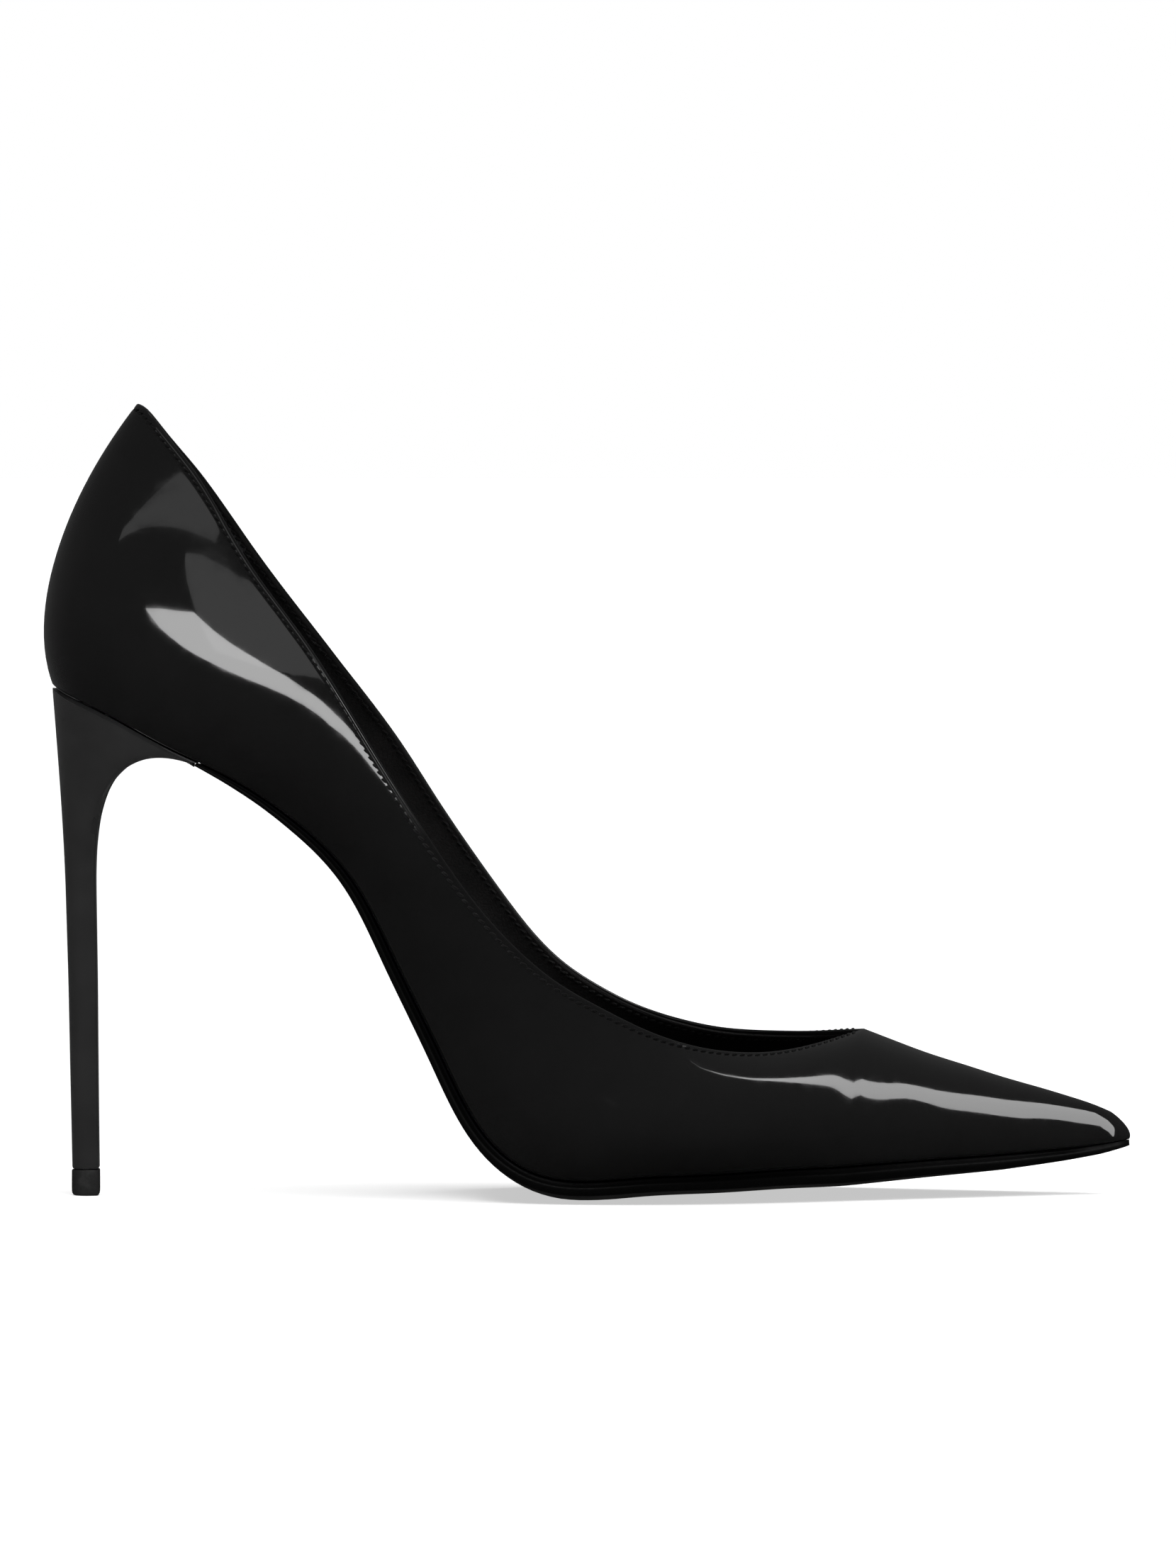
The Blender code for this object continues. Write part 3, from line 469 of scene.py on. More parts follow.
def leather_waves(grid):
    """The slow unevenness of patent leather pulled over a last, in mm."""
    x, y, z = grid[..., 0], grid[..., 1], grid[..., 2]
    wave = np.sin(x / 5.3 + 0.8 * np.sin(z / 7.1)) * np.sin(z / 6.7 + 0.9 * np.sin(x / 9.7 + y / 11))
    wave += 0.6 * np.sin(x / 3.1 - z / 4.9 + 1.3 * np.sin(y / 6.0))
    return wave


def upper_rows(rails):
    """From the topline down the wall and round the feather edge to the turned-under margin."""
    rows = [*np.moveaxis(section_rows(rails, upper_distances), 1, 0)]
    for distance, level in MARGIN_FINE:
        rows.append(lift(bottom_ring(rails[0], reach_inward(rails[0], distance)), level))
    return np.stack(rows, axis=1)


def make_upper(look):
    v = fine_columns(0.0, KNOTS[-1])
    form = built_sides(v, upper_rows)
    normals = normals_of(form)
    count = form.shape[2]

    down = np.full(count, FAR_DOWN)
    down[: len(TOP_FINE)] = TOP_FINE
    open_top = openness(v)[:, None]
    round_edge = np.maximum(FOLD_RADIUS**2 - (FOLD_RADIUS - down) ** 2, 0)
    fold = np.where(down < FOLD_RADIUS, FOLD_RADIUS - np.sqrt(round_edge), 0)
    fold = np.minimum(fold, FOLD_RADIUS - 0.05)
    groove = dent(down - STITCH_DROP, *UPPER_GROOVE)
    seam = dent(v, *BACK_SEAM)[:, None] * (down > FOLD_RADIUS)
    outer_depth = (fold + groove) * open_top + seam
    inner_depth = UPPER_THICK - fold * open_top
    from_foot = (count - WAVE_FADE - np.arange(count)) / WAVE_FADE
    fade = np.clip(down / WAVE_FADE, 0, 1) * np.clip(from_foot, 0, 1)
    waves = WAVE_HEIGHT * (leather_waves(form) * fade)
    outer = form - normals * (outer_depth[None, :, :, None] - waves[..., None])
    inner = form - normals * np.broadcast_to(inner_depth, form.shape[1:3])[None, :, :, None]
    made = closed_sheet("upper_patent", outer, inner, look, 50)
    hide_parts("upper")


# How deep the lining's inner face lies at x: deeper over the counter and the toe puff.
LINING_FACE = ((-98, 3.65), (-88, 3.3), (-60, 3.3), (-45, 2.2), (66, 2.2), (76, 3.2))


# The lining is thin down to LINING_THIN, and reaches its full depth LINING_EASE further down.
LINING_THIN = 2.5
LINING_EASE = 9


def lining_depth(v, down):
    """How deep the lining's inner face lies: thin at the topline, over the stiffeners at heel and toe."""
    base = between(LINING_FACE, rails_at(v)[0][:, 0])[:, None]
    eased = np.clip((down[None, :] - LINING_THIN) / LINING_EASE, 0, 1)
    eased = eased * eased * (3 - 2 * eased)
    top = LINING_INNER + (base - LINING_INNER) * eased
    return top * openness(v)[:, None] + base * (1 - openness(v)[:, None])


LINING_TOP = (0.32, 0.42, 0.6, 0.85, 1.2, 1.55, 1.9, 2.25, 2.6, 3.2, 4.2, 5.6, 7.5)
LINING_ROWS = 44
LINING_FOOT = 3.0
LINING_END = 96.5
LINING_THICK = 0.8
LINING_DEEP = 45
# Depth and half-width of the rounding at the lining's top edge, and of its stitch groove.
LINING_EDGE = (0.3, 0.22)
LINING_GROOVE = (0.1, 0.4)


def lining_distances(length):
    top = drawn_in(LINING_TOP, length, TOP_ROOM)
    foot = length - drawn_in(LINING_FOOT, length, FOOT_ROOM)
    return np.concatenate([top, np.linspace(top[-1], foot, LINING_ROWS - len(LINING_TOP) + 1)[1:]])


def make_lining(look):
    v = fine_columns(0.0, v_of(LINING_END))
    form = built_sides(v, lambda rails: section_rows(rails, lining_distances))
    normals = normals_of(form)
    below = np.linspace(LINING_TOP[-1], LINING_DEEP, LINING_ROWS - len(LINING_TOP) + 1)[1:]
    down = np.concatenate([LINING_TOP, below])
    depth = lining_depth(v, down)
    edge = dent(down - LINING_TOP[0], *LINING_EDGE)
    groove = dent(down - STITCH_DROP, *LINING_GROOVE)
    inner_depth = depth - (edge + groove) * openness(v)[:, None]
    inner = form - normals * (inner_depth[None] + lining_wrinkles(form))[..., None]
    outer_depth = np.maximum(depth - LINING_THICK, UPPER_THICK + 0.05)
    outer = form - normals * outer_depth[None, :, :, None]
    made = closed_sheet("lining_leather", outer, inner, look, 50)
    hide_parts("vamp_lining", "quarter_lining_outer", "quarter_lining_inner", "heel_grip")


def lining_wrinkles(grid):
    """Small creases where the lining is squeezed into the bend of the waist, in mm."""
    x, z = grid[..., 0], grid[..., 2]
    across = np.exp(-(((x + 22) / 22) ** 2))
    return 0.09 * across * np.sin((x + 0.7 * z) / 1.6 + 1.2 * np.sin(z / 5.0))


def topline_path(v, depth, side):
    """Points and normals along the stitch row, at a depth under the outer skin, from throat to back."""
    levels = STITCH_DROP + np.array([-0.5, 0.0, 0.5])
    row = placed(section_rows(side_rails(v, side), lambda length: levels), side)
    down = row[:, 2] - row[:, 0]
    course = np.gradient(row[:, 1], axis=0)
    normal = np.cross(course, down) * -side
    normal /= np.linalg.norm(normal, axis=1, keepdims=True)
    return row[:, 1] - normal * depth, normal


STITCH_LENGTH = 1.45
STITCH_SLANT = 0.3
STITCH_MARGINS = (0.6, 1.0)
STITCH_SIDES = 8
# How deep under the outer skin each row lies, and whether its stitches face out (1) or in (-1).
STITCH_FACES = ((0.09, 1), (LINING_INNER - 0.06, -1))
# A stitch from end to end: place along it, height in mm, and share of the thread's radius.
STITCH_ARC = (
    (-0.5, -0.2, 0.4), (-0.4, 0.02, 0.85), (-0.2, 0.09, 1.0), (0.0, 0.11, 1.0),
    (0.2, 0.09, 1.0), (0.4, 0.02, 0.85), (0.5, -0.2, 0.4),
)


def stitch_points(path, normals):
    """Middle, course and normal of each stitch, spaced evenly along a path."""
    walked = way_along(path)
    half = STITCH_LENGTH / 2
    for place in np.arange(STITCH_MARGINS[0], walked[-1] - STITCH_MARGINS[1], STITCH_PITCH):
        course = read_path(path, walked, place + half) - read_path(path, walked, place - half)
        yield read_path(path, walked, place), course, read_path(normals, walked, place)


def make_stitching(look):
    """Each stitch is a short round thread that dips into the leather at both ends."""
    points, faces = [], []
    turns = [2 * math.pi * k / STITCH_SIDES for k in range(STITCH_SIDES)]
    tube = tube_faces(len(STITCH_ARC), STITCH_SIDES)
    v = np.linspace(THROAT - 2.2, 0.6, 900)
    for depth, turned in STITCH_FACES:
        for side in (-1, 1):
            for middle, course, normal in stitch_points(*topline_path(v, depth, side)):
                normal = normal / np.linalg.norm(normal) * turned
                across = np.cross(course, normal)
                across /= np.linalg.norm(across)
                course = course + across * STITCH_SLANT * STITCH_LENGTH * side * turned
                faces += [[corner + len(points) for corner in face] for face in tube]
                for along_stitch, rise, size in STITCH_ARC:
                    centre = middle + course * along_stitch + normal * rise
                    for turn in turns:
                        offset = math.cos(turn) * across + math.sin(turn) * normal
                        points.append(centre + offset * THREAD_RADIUS * size)
    made = add_mesh("topline_stitches", points, faces, look, 35)
    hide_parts("topline_thread")


# ---- sock lining and outsole ----

SOCK_ROWS = 20
SOCK_THICK = 0.8
SOCK_HEIGHT = ((-112, 8.8), (-90, 8.8), (-70, 7.4), (-60, 6.5), (55, 6.2), (75, 4.2), (95, 3.9))
SOCK_RISE = ((-110, 2.4), (-85, 2.0), (-60, 1.3), (0, 0.9), (90, 0.3))
SOCK_END = 90.0
SOCK_TUCK = 0.35


def sock_edge(rails):
    """Half-form points on the wall where the sock meets it, between two rows that give the normals."""
    x = rails[0][:, 0]
    height = between(SOCK_HEIGHT, x) + between(SOCK_RISE, x)
    rows = []
    for column, up in enumerate(height):
        levels = up + np.array([2.0, 0.0, -2.0])
        rows.append(section_rows(rails[:, column : column + 1], lambda length: length - levels)[0])
    return np.array(rows)


def make_sock(look):
    """The sock lining, which fills the shoe from wall to wall and is dished, most under the heel."""
    v = fine_columns(0.0, v_of(SOCK_END))
    feather = rails_at(v)[0]
    x = feather[:, 0]
    wall = built_sides(v, sock_edge)
    lining = between(LINING_FACE, x)[None, :, None]
    edge = wall[:, :, 1] - normals_of(wall)[:, :, 1] * (lining - SOCK_TUCK)
    spine = both_sides(lift(bottom_ring(feather, 1.0), between(SOCK_HEIGHT, x)))
    rise = between(SOCK_RISE, x)
    sheets = []
    for thick in (0.0, SOCK_THICK):
        rows = []
        for share in np.linspace(0, 1, SOCK_ROWS) ** 1.4:
            row = edge * (1 - share) + spine * share
            row[..., 2] -= share * (1 - share) * rise * 0.5 + thick
            rows.append(row)
        sheets.append(np.stack(rows, axis=2))
    made = closed_sheet("sock_leather", *sheets, look, 60)
    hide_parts("sock_lining")


# Down the sole's section from its outline to its middle: way in (mm) and share of the thickness, for the
# tread side, with its rounded corner, and for the side that meets the upper, set back in a channel.
TREAD_SIDE = (
    (0.10, 0.42), (0.0, 0.52), (0.03, 0.64), (0.12, 0.75),
    (0.3, 0.86), (0.6, 0.95), (1.0, 0.99), (3.0, 1.0),
)
UPPER_SIDE = (
    (0.28, 0.38), (0.55, 0.30), (0.85, 0.20), (1.0, 0.11),
    (1.05, 0.04), (1.15, 0.0), (1.6, 0.0), (3.2, 0.0),
)
SOLE_ROWS = 14
SOLE_PROUD = 0.3
SOLE_START = -80.2
SOLE_GAP = 0.3
SOLE_FLOOR = 0.03
# Where the channel and the gap to the upper close towards the toe, by x.
CHANNEL_SHARE = ((98, 1), (110, 0.15))
CHANNEL_THICK = 1.5
GAP_SHARE = ((98, SOLE_GAP), (110, 0.08))
PROUD_START = ((SOLE_START, -0.3), (-76, SOLE_PROUD))
MOST_INWARD = 0.4
# A face belongs to the tread when it looks down this squarely, and to the painted highlight line on the
# edge between these shares of the thickness, ahead of this x.
TREAD_FACING = -0.93
PAINTED_HIGHLIGHT_SHARES = (0.74, 0.9)
PAINTED_HIGHLIGHT_START = -20
# The sole's thickness at x: skived thin over the heel seat and thinner towards the toe.
SKIVED = (
    (-85, 0.4), (-80, 0.75), (-71, 1.3), (-60, 1.7), (-48, 2.0), (-5, 2.8), (20, 2.8),
    (53, 3.1), (85, 2.7), (106, 1.8), (112, 1.2),
)


def make_outsole(edge_look, tread_look, painted_highlight_look):
    """The sole, from its skived end over the heel seat to the toe, with its edge inked and a paler
    highlight line painted along its bottom corner.
    """
    v = fine_columns(v_of(SOLE_START), KNOTS[-1])
    feather = rails_at(v)[0]
    x = feather[:, 0]
    thick = between(SKIVED, x)
    proud = between(PROUD_START, x)
    channel = np.minimum(1, thick / CHANNEL_THICK) * between(CHANNEL_SHARE, x)
    gap = between(GAP_SHARE, x)
    sheets = []
    for profile in (TREAD_SIDE, UPPER_SIDE):
        rows = []
        for inward, share in profile:
            ring = bottom_ring(feather, reach_inward(feather, inward * channel - proud, MOST_INWARD))
            rows.append(lift(ring, -gap - thick * share))
        first = reach_inward(feather, profile[-1][0] - proud, MOST_INWARD)
        for way in np.linspace(0, 1, SOLE_ROWS + 1)[1:]:
            ring = bottom_ring(feather, first + (1 - first) * way)
            rows.append(lift(ring, -gap - thick * profile[-1][1]))
        half = np.stack(rows, axis=1)
        half[..., 2] = np.maximum(half[..., 2], SOLE_FLOOR)
        sheets.append(both_sides(half))
    made = closed_sheet("sole_leather", *sheets, edge_look, 50)
    made.data.materials.append(tread_look)
    made.data.materials.append(painted_highlight_look)
    for face in made.data.polygons:
        x, _, z = face.center
        slope = feather_rise(x) / (2 * SLOPE_REACH)
        level = (feather_height(x) - z) / np.hypot(1, slope) - SOLE_GAP
        facing = (face.normal[2] - slope * face.normal[0]) / np.hypot(1, slope)
        if facing < TREAD_FACING:
            face.material_index = 1
        # faces at the edge's bottom corner get the paler third look: a painted highlight where the corner
        # catches light
        elif PAINTED_HIGHLIGHT_SHARES[0] < level / between(SKIVED, x) < PAINTED_HIGHLIGHT_SHARES[1] and x > PAINTED_HIGHLIGHT_START:
            face.material_index = 2
    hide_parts("outsole")


# The cushions under the sock: CAD node, x of both ends, level of the bottom, level of the top at x.
CUSHION_EDGE = 8.0
CUSHION_SKIVE = 7.0
CUSHION_ROWS = 16
CUSHIONS = (
    ("heel_cushion", -200.0, -78.0, 5.9, ((-112, 7.7), (-90, 7.7), (-74, 6.5))),
    ("forefoot_cushion", -4.0, 62.0, 3.0, ((-5, 3.6), (5, 4.8), (50, 4.8), (63, 3.7))),
)


def make_cushions(look):
    """The foam pads glued under the sock lining, full in the middle and skived thin all round."""
    for name, start, end, low, top in CUSHIONS:
        v = fine_columns(v_of(start) if start > -112 else 0.0, v_of(end))
        feather = rails_at(v)[0]
        sheets = []
        for upper_face in (False, True):
            rows = []
            for inward in np.linspace(0, 1, CUSHION_ROWS) ** 1.5:
                first = reach_inward(feather, CUSHION_EDGE, 0.7)
                ring = bottom_ring(feather, first + (1 - first) * inward)
                from_edge = (1 - first) * inward * np.hypot(feather[:, 1], 1.0)
                from_end = np.minimum(ring[:, 0] - start, end + 1.5 - ring[:, 0])
                full = np.clip(np.minimum(from_edge, from_end) / CUSHION_SKIVE, 0, 1)
                full = 0.15 + 0.85 * np.sqrt(1 - (1 - full) ** 2)
                level = low + upper_face * (between(top, ring[:, 0]) - low) * full
                rows.append(lift(ring, level))
            sheets.append(both_sides(np.stack(rows, axis=1)))
        made = closed_sheet(name + "_foam", *sheets, look, 60)
        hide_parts(name)


# ---- heel ----

SEAT_DROP = 0.9
SEAT_POINTS = 81
BREAST_POINTS = 31
HEEL_TURNS = 44

# How the heel's outline leaves the seat and arrives at the stem, by the way round from the back (0)
# to the front corner (1), then to the middle of the breast (2): offsets (x, outwards, z).
LEAVING = (
    (0, 1.0, 0.0, -12.5), (0.4, -0.5, -2.0, -10.0), (0.75, -6.0, -4.0, -6.0),
    (1, -15.4, -6.5, 5.6), (2, -16.4, 0.0, 7.1),
)
ARRIVING = (
    (0, -0.4, 0.0, 14.0), (0.4, 0.0, 0.4, 20.0), (0.75, -0.2, 0.5, 24.0),
    (1, -0.3, 0.4, 25.5), (2, -0.4, 0.0, 26.5),
)


def heel_round():
    """The way round the heel as (turn, side), over the back and then across the breast."""
    back = [(abs(u), -1 if u < 0 else 1) for u in np.linspace(-1, 1, SEAT_POINTS)]
    breast = [(2 - abs(u), 1 if u >= 0 else -1) for u in np.linspace(1, -1, BREAST_POINTS + 2)[1:-1]]
    return back + breast


def eased_table(table, turn):
    """The table's offsets at a turn, easing smoothly from entry to entry."""
    turns, *axes = zip(*table)
    knots = np.array(turns, float)
    points = np.array(axes).T
    mirrored = points[1:3][::-1] * (1, -1, 1)
    points = np.concatenate([mirrored, points])
    knots = np.concatenate([-knots[1:3][::-1], knots])
    return smooth_curve(points, knots, np.array([turn]))[0]


def stem_section(turn, back, front, half):
    """A point of the stem's outline: a round back, straight sides and a flat front."""
    if turn <= 1:
        x = back + (front - back) * (1 - math.cos(math.pi * turn / 2))
        narrowed = 1 - 0.2 * max(0, (turn - 0.6) / 0.4) ** 2
        y = half * math.sin(math.pi / 2 * min(1, 1.5 * turn)) * narrowed
    else:
        x = front
        y = 0.8 * half * (2 - turn)
    return x, y


def seat_point(turn):
    feather = rails_at(np.array([v_of(HEEL_FRONT) * min(turn, 1)]))[0]
    if turn > 1:
        feather[0, 1] *= 2 - turn
        feather[0, 0] -= 0.5 * (turn - 1)
    return lift(feather, -SEAT_DROP)[0]


# The cover is wrapped over the seat: way in from the outline and level under the upper, inner first.
SEAT_WRAP = ((5.0, -0.3), (1.3, -0.25), (0.75, -0.3), (0.45, -0.7), (0.12, -1.05))
# At x, the share of that level that is kept behind, and how far the wrap dips under the sole's end.
WRAP_SHARE = ((-110.4, 0.4), (-107, 1))
SOLE_DIP = ((-80.6, 0), (-80.0, 0.3))


def seat_wrap_rings():
    """Rings of the wrapped edge, which closes the gap to the upper and dips under the sole's end."""
    outline = np.array([seat_point(turn) * (1, side, 1) for turn, side in heel_round()])
    middle = outline.mean(axis=0)
    rings = []
    for inset, level in SEAT_WRAP:
        away = middle - outline
        away[:, 2] = 0
        ring = outline + away * (inset / np.linalg.norm(away, axis=1, keepdims=True))
        x = ring[:, 0]
        ring[:, 2] = feather_height(x)
        ring = lift(ring, level * between(WRAP_SHARE, x) - between(SOLE_DIP, x))
        ring[:, 1] += along(SWING, ring[:, 0]) + FRAME_SHIFT_Y
        rings.append(ring)
    return np.array(rings)


def rounded_corners(rings, passes=3):
    """Softens the corner between the heel's sides and its breast, all the way down."""
    for _ in range(passes):
        rings = rings * 0.5 + (np.roll(rings, 1, axis=1) + np.roll(rings, -1, axis=1)) * 0.25
    return rings


def heel_form():
    """The heel's skin as points (ring, way round, xyz), from the seat to the bottom of the stem."""
    lines = []
    t = np.linspace(0, 1, HEEL_TURNS)[:, None] ** 1.15
    s = 1 - t
    top_z, *top_sizes = STEM[0]
    heights = np.array([row[0] for row in STEM])
    for turn, side in heel_round():
        seat = seat_point(turn)
        stem = np.array([*stem_section(turn, *top_sizes), top_z])
        first, second = seat + eased_table(LEAVING, turn), stem + eased_table(ARRIVING, turn)
        line = s**3 * seat + 3 * s * s * t * first + 3 * s * t * t * second + t**3 * stem
        low = np.linspace(top_z, STEM[-1][0], 16)[1:]
        sizes = [np.interp(-low, -heights, [row[k] for row in STEM]) for k in (1, 2, 3)]
        below = [[*stem_section(turn, back, front, half), z] for z, back, front, half in zip(low, *sizes)]
        line = np.concatenate([line, below])
        line[:, 1] *= side
        line[:, 1] += along(SWING, line[:, 0]) + FRAME_SHIFT_Y
        lines.append(line)
    return np.swapaxes(np.array(lines), 0, 1)


def ring_normals(form):
    around = np.roll(form, -1, axis=1) - np.roll(form, 1, axis=1)
    down = np.gradient(form, axis=0)
    normals = np.cross(down, around)
    normals /= np.maximum(np.linalg.norm(normals, axis=-1, keepdims=True), 1e-9)
    outward = form - form.mean(axis=1, keepdims=True)
    return normals if (normals * outward).sum() > 0 else -normals


HEEL_COVER_THICK = 0.7
# Depth in mm and half-width in points of the seam down the breast.
BREAST_SEAM = (0.16, 0.8)


def make_heel(look):
    """The heel's patent cover, a shell round the core, with the edge of its wrap down the breast."""
    form = rounded_corners(heel_form())
    normals = ring_normals(form)
    around = form.shape[1]
    middle = SEAT_POINTS + BREAST_POINTS // 2
    seam = dent(np.minimum(np.abs(np.arange(around) - middle), 6), *BREAST_SEAM)
    outer = form - normals * seam[None, :, None]
    wrap = rounded_corners(seat_wrap_rings(), 2)
    foot = [outer[-2] * 0.1 + outer[-1] * 0.9, outer[-1] - normals[-1] * 0.12]
    inner = form[::-1] - normals[::-1] * HEEL_COVER_THICK
    under = wrap[1::-1] - (0, 0, HEEL_COVER_THICK)
    rings = np.concatenate([wrap, outer[1:-1], foot, inner[:-3], under, wrap[:1]])
    made = add_mesh("heel_patent", *welded_rings(rings), look, 40)
    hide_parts("heel_cover")


def welded_rings(rings):
    """Points and faces of a closed ring of rings, whose last is its first again."""
    count, around = rings.shape[:2]
    points = rings[:-1].reshape(-1, 3)
    faces = [[corner % len(points) for corner in face] for face in ring_faces(count, around)]
    return points, faces


PIN_SOCKET = 1.4
SOCKET_BOTTOM = 1.2
# The lift's section from its top down: height, and how far it stands out from the stem.
LIFT_LEVELS = (
    (5.42, -0.4), (5.4, -0.12), (5.3, 0.02), (5.1, 0.1), (3.4, 0.12), (1.6, 0.12),
    (0.9, 0.1), (0.45, 0.0), (0.18, -0.18), (0.04, -0.42), (0.0, -0.8),
)


def make_top_lift(look):
    """The rubber top lift: a little wider than the stem, with round edges and a socket for its pin."""
    _, back, front, half = STEM[-1]
    rings = []
    for level, proud in LIFT_LEVELS:
        ring = []
        for turn, side in heel_round():
            x, y = stem_section(turn, back - proud, front + proud * 0.6, half + proud)
            ring.append((x, side * y + along(SWING, np.array([x]))[0] + FRAME_SHIFT_Y, level))
        rings.append(ring)
    rings = rounded_corners(np.array(rings), 4)
    middle = np.array([(back + front) / 2, rings[0, :, 1].mean(), 0])
    outward = rings[0] - middle
    outward[:, 2] = 0
    socket = middle + PIN_SOCKET * outward / np.linalg.norm(outward, axis=1, keepdims=True)
    walls = [socket + (0, 0, level) for level in (SOCKET_BOTTOM, LIFT_LEVELS[0][0])]
    rings = np.concatenate([walls, rings])
    made = add_mesh("top_lift_rubber", rings.reshape(-1, 3), tube_faces(*rings.shape[:2]), look, 40)
    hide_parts("top_lift")


# ---- materials ----


class Look:
    """A procedural material, built from patterns in the shoe's own coordinates, in mm."""

    def __init__(self, name, colour, roughness, **settings):
        self.material = bpy.data.materials.new(name)
        self.material.use_nodes = True
        self.nodes = self.material.node_tree.nodes
        self.links = self.material.node_tree.links
        self.shader = self.nodes["Principled BSDF"]
        self.shader.inputs["Base Color"].default_value = (*colour, 1)
        self.shader.inputs["Roughness"].default_value = roughness
        for setting, value in settings.items():
            entry = setting.replace("_", " ").title().replace("Ior", "IOR")
            self.shader.inputs[entry].default_value = value
        place = self.nodes.new("ShaderNodeTexCoord")
        self.place = self.scaled(place.outputs["Object"], (1 / MM,) * 3)
        self.bent = None

    def node(self, kind, values, **settings):
        """A node with its first inputs set or linked; its first output."""
        made = self.nodes.new(kind)
        for setting, value in settings.items():
            setattr(made, setting, value)
        for entry, value in zip(made.inputs, values):
            if isinstance(value, bpy.types.NodeSocket):
                self.links.new(value, entry)
            elif value is not None:
                entry.default_value = value
        return made.outputs[0]

    def scaled(self, vector, factors):
        return self.node("ShaderNodeVectorMath", (vector, factors), operation="MULTIPLY")

    def pattern(self, kind, size, stretch):
        """A texture node whose features are about size mm across, stretched along the axes."""
        made = self.nodes.new(kind)
        vector = self.scaled(self.place, tuple(1 / (size * way) for way in stretch))
        self.links.new(vector, made.inputs["Vector"])
        made.inputs["Scale"].default_value = 1.0
        return made

    def noise(self, size, detail=2.0, stretch=(1, 1, 1), distortion=0.0):
        made = self.pattern("ShaderNodeTexNoise", size, stretch)
        made.inputs["Detail"].default_value = detail
        made.inputs["Distortion"].default_value = distortion
        return made.outputs["Fac"]

    def cells(self, size, feature="DISTANCE_TO_EDGE"):
        """The distance to the edges of cells, or with feature F1 a colour for each cell."""
        made = self.pattern("ShaderNodeTexVoronoi", size, (1, 1, 1))
        made.feature = feature
        return made.outputs["Distance" if feature == "DISTANCE_TO_EDGE" else "Color"]

    def waves(self, direction, scale, distortion=0.0):
        made = self.nodes.new("ShaderNodeTexWave")
        self.links.new(self.place, made.inputs["Vector"])
        made.bands_direction = direction
        made.inputs["Scale"].default_value = scale
        made.inputs["Distortion"].default_value = distortion
        return made.outputs["Fac"]

    def ramp(self, value, low, high, to_low=0.0, to_high=1.0):
        """A value from low..high carried to to_low..to_high, and clamped."""
        return self.node("ShaderNodeMapRange", (value, low, high, to_low, to_high))

    def blend(self, share, first, second):
        made = self.nodes.new("ShaderNodeMix")
        made.data_type = "RGBA"
        self.links.new(share, made.inputs["Factor"])
        for entry, colour in ((6, first), (7, second)):
            if isinstance(colour, bpy.types.NodeSocket):
                self.links.new(colour, made.inputs[entry])
            else:
                made.inputs[entry].default_value = (*colour, 1)
        return made.outputs[2]

    def colour(self, output):
        self.links.new(output, self.shader.inputs["Base Color"])

    def roughness(self, output):
        self.links.new(output, self.shader.inputs["Roughness"])

    def bump(self, height, depth):
        """Adds relief: depth is what a height of 1 stands for, in mm."""
        made = self.nodes.new("ShaderNodeBump")
        made.inputs["Strength"].default_value = 1.0
        made.inputs["Distance"].default_value = depth * MM
        self.links.new(height, made.inputs["Height"])
        if self.bent is not None:
            self.links.new(self.bent, made.inputs["Normal"])
        self.bent = made.outputs["Normal"]
        self.links.new(self.bent, self.shader.inputs["Normal"])


def grey(tone):
    return (tone, tone, tone)


def patent_leather(name="patent_leather", tone=0.003):
    """Black patent: a clear lacquer over dark leather, a little uneven where the last pulls it."""
    look = Look(name, grey(tone), 0.07, coat_weight=1.0, coat_roughness=0.03, coat_ior=1.5)
    look.colour(look.blend(look.noise(6.0, 3), grey(tone * 0.8), grey(tone * 1.4)))
    look.roughness(look.ramp(look.noise(2.5, 4), 0.3, 0.75, 0.05, 0.1))
    look.bump(look.noise(9.0, 1, (1, 1, 1), 0.4), 0.05)
    look.bump(look.noise(2.2, 2), 0.005)
    return look.material


def grained_leather(name, dark, light, roughness, grain, depth):
    """Matt leather: a pebbled grain of two sizes with fine pores, paler where it is rubbed."""
    look = Look(name, dark, roughness, specular_ior_level=0.4)
    large = look.cells(grain)
    small = look.cells(grain * 0.45)
    pores = look.noise(grain * 0.35, 3)
    look.colour(look.blend(look.ramp(look.noise(7.0, 4), 0.3, 0.7), dark, light))
    look.roughness(look.ramp(large, 0.0, 0.5, roughness + 0.12, roughness))
    look.bump(look.ramp(large, 0.0, 0.16), depth)
    look.bump(look.ramp(small, 0.0, 0.2), depth * 0.45)
    look.bump(pores, depth * 0.5)
    return look.material


def sole_leather():
    """Black dyed sole leather: fine fibres along it, burnished by wear."""
    look = Look("sole_leather", grey(0.004), 0.5, specular_ior_level=0.25)
    fibres = look.noise(0.9, 4, (5, 1, 1), 0.5)
    speckle = look.noise(0.35, 3)
    wear = look.ramp(look.noise(16.0, 4), 0.35, 0.7)
    look.colour(look.blend(wear, grey(0.003), (0.007, 0.0067, 0.0065)))
    look.roughness(look.ramp(fibres, 0.3, 0.7, 0.36, 0.52))
    look.bump(fibres, 0.035)
    look.bump(speckle, 0.03)
    return look.material


def edge_ink(name="sole_edge_ink", tone=0.0012, shine=0.12):
    """The dyed and burnished edge of the sole, or with a paler tone a highlight line painted along its
    bottom corner.
    """
    look = Look(name, grey(tone), 0.5, specular_ior_level=shine)
    look.colour(look.blend(look.noise(4.0, 4), grey(tone * 0.8), grey(tone * 1.5)))
    look.roughness(look.ramp(look.noise(0.8, 3), 0.3, 0.7, 0.42, 0.6))
    look.bump(look.noise(0.6, 4, (3, 3, 1)), 0.02)
    return look.material


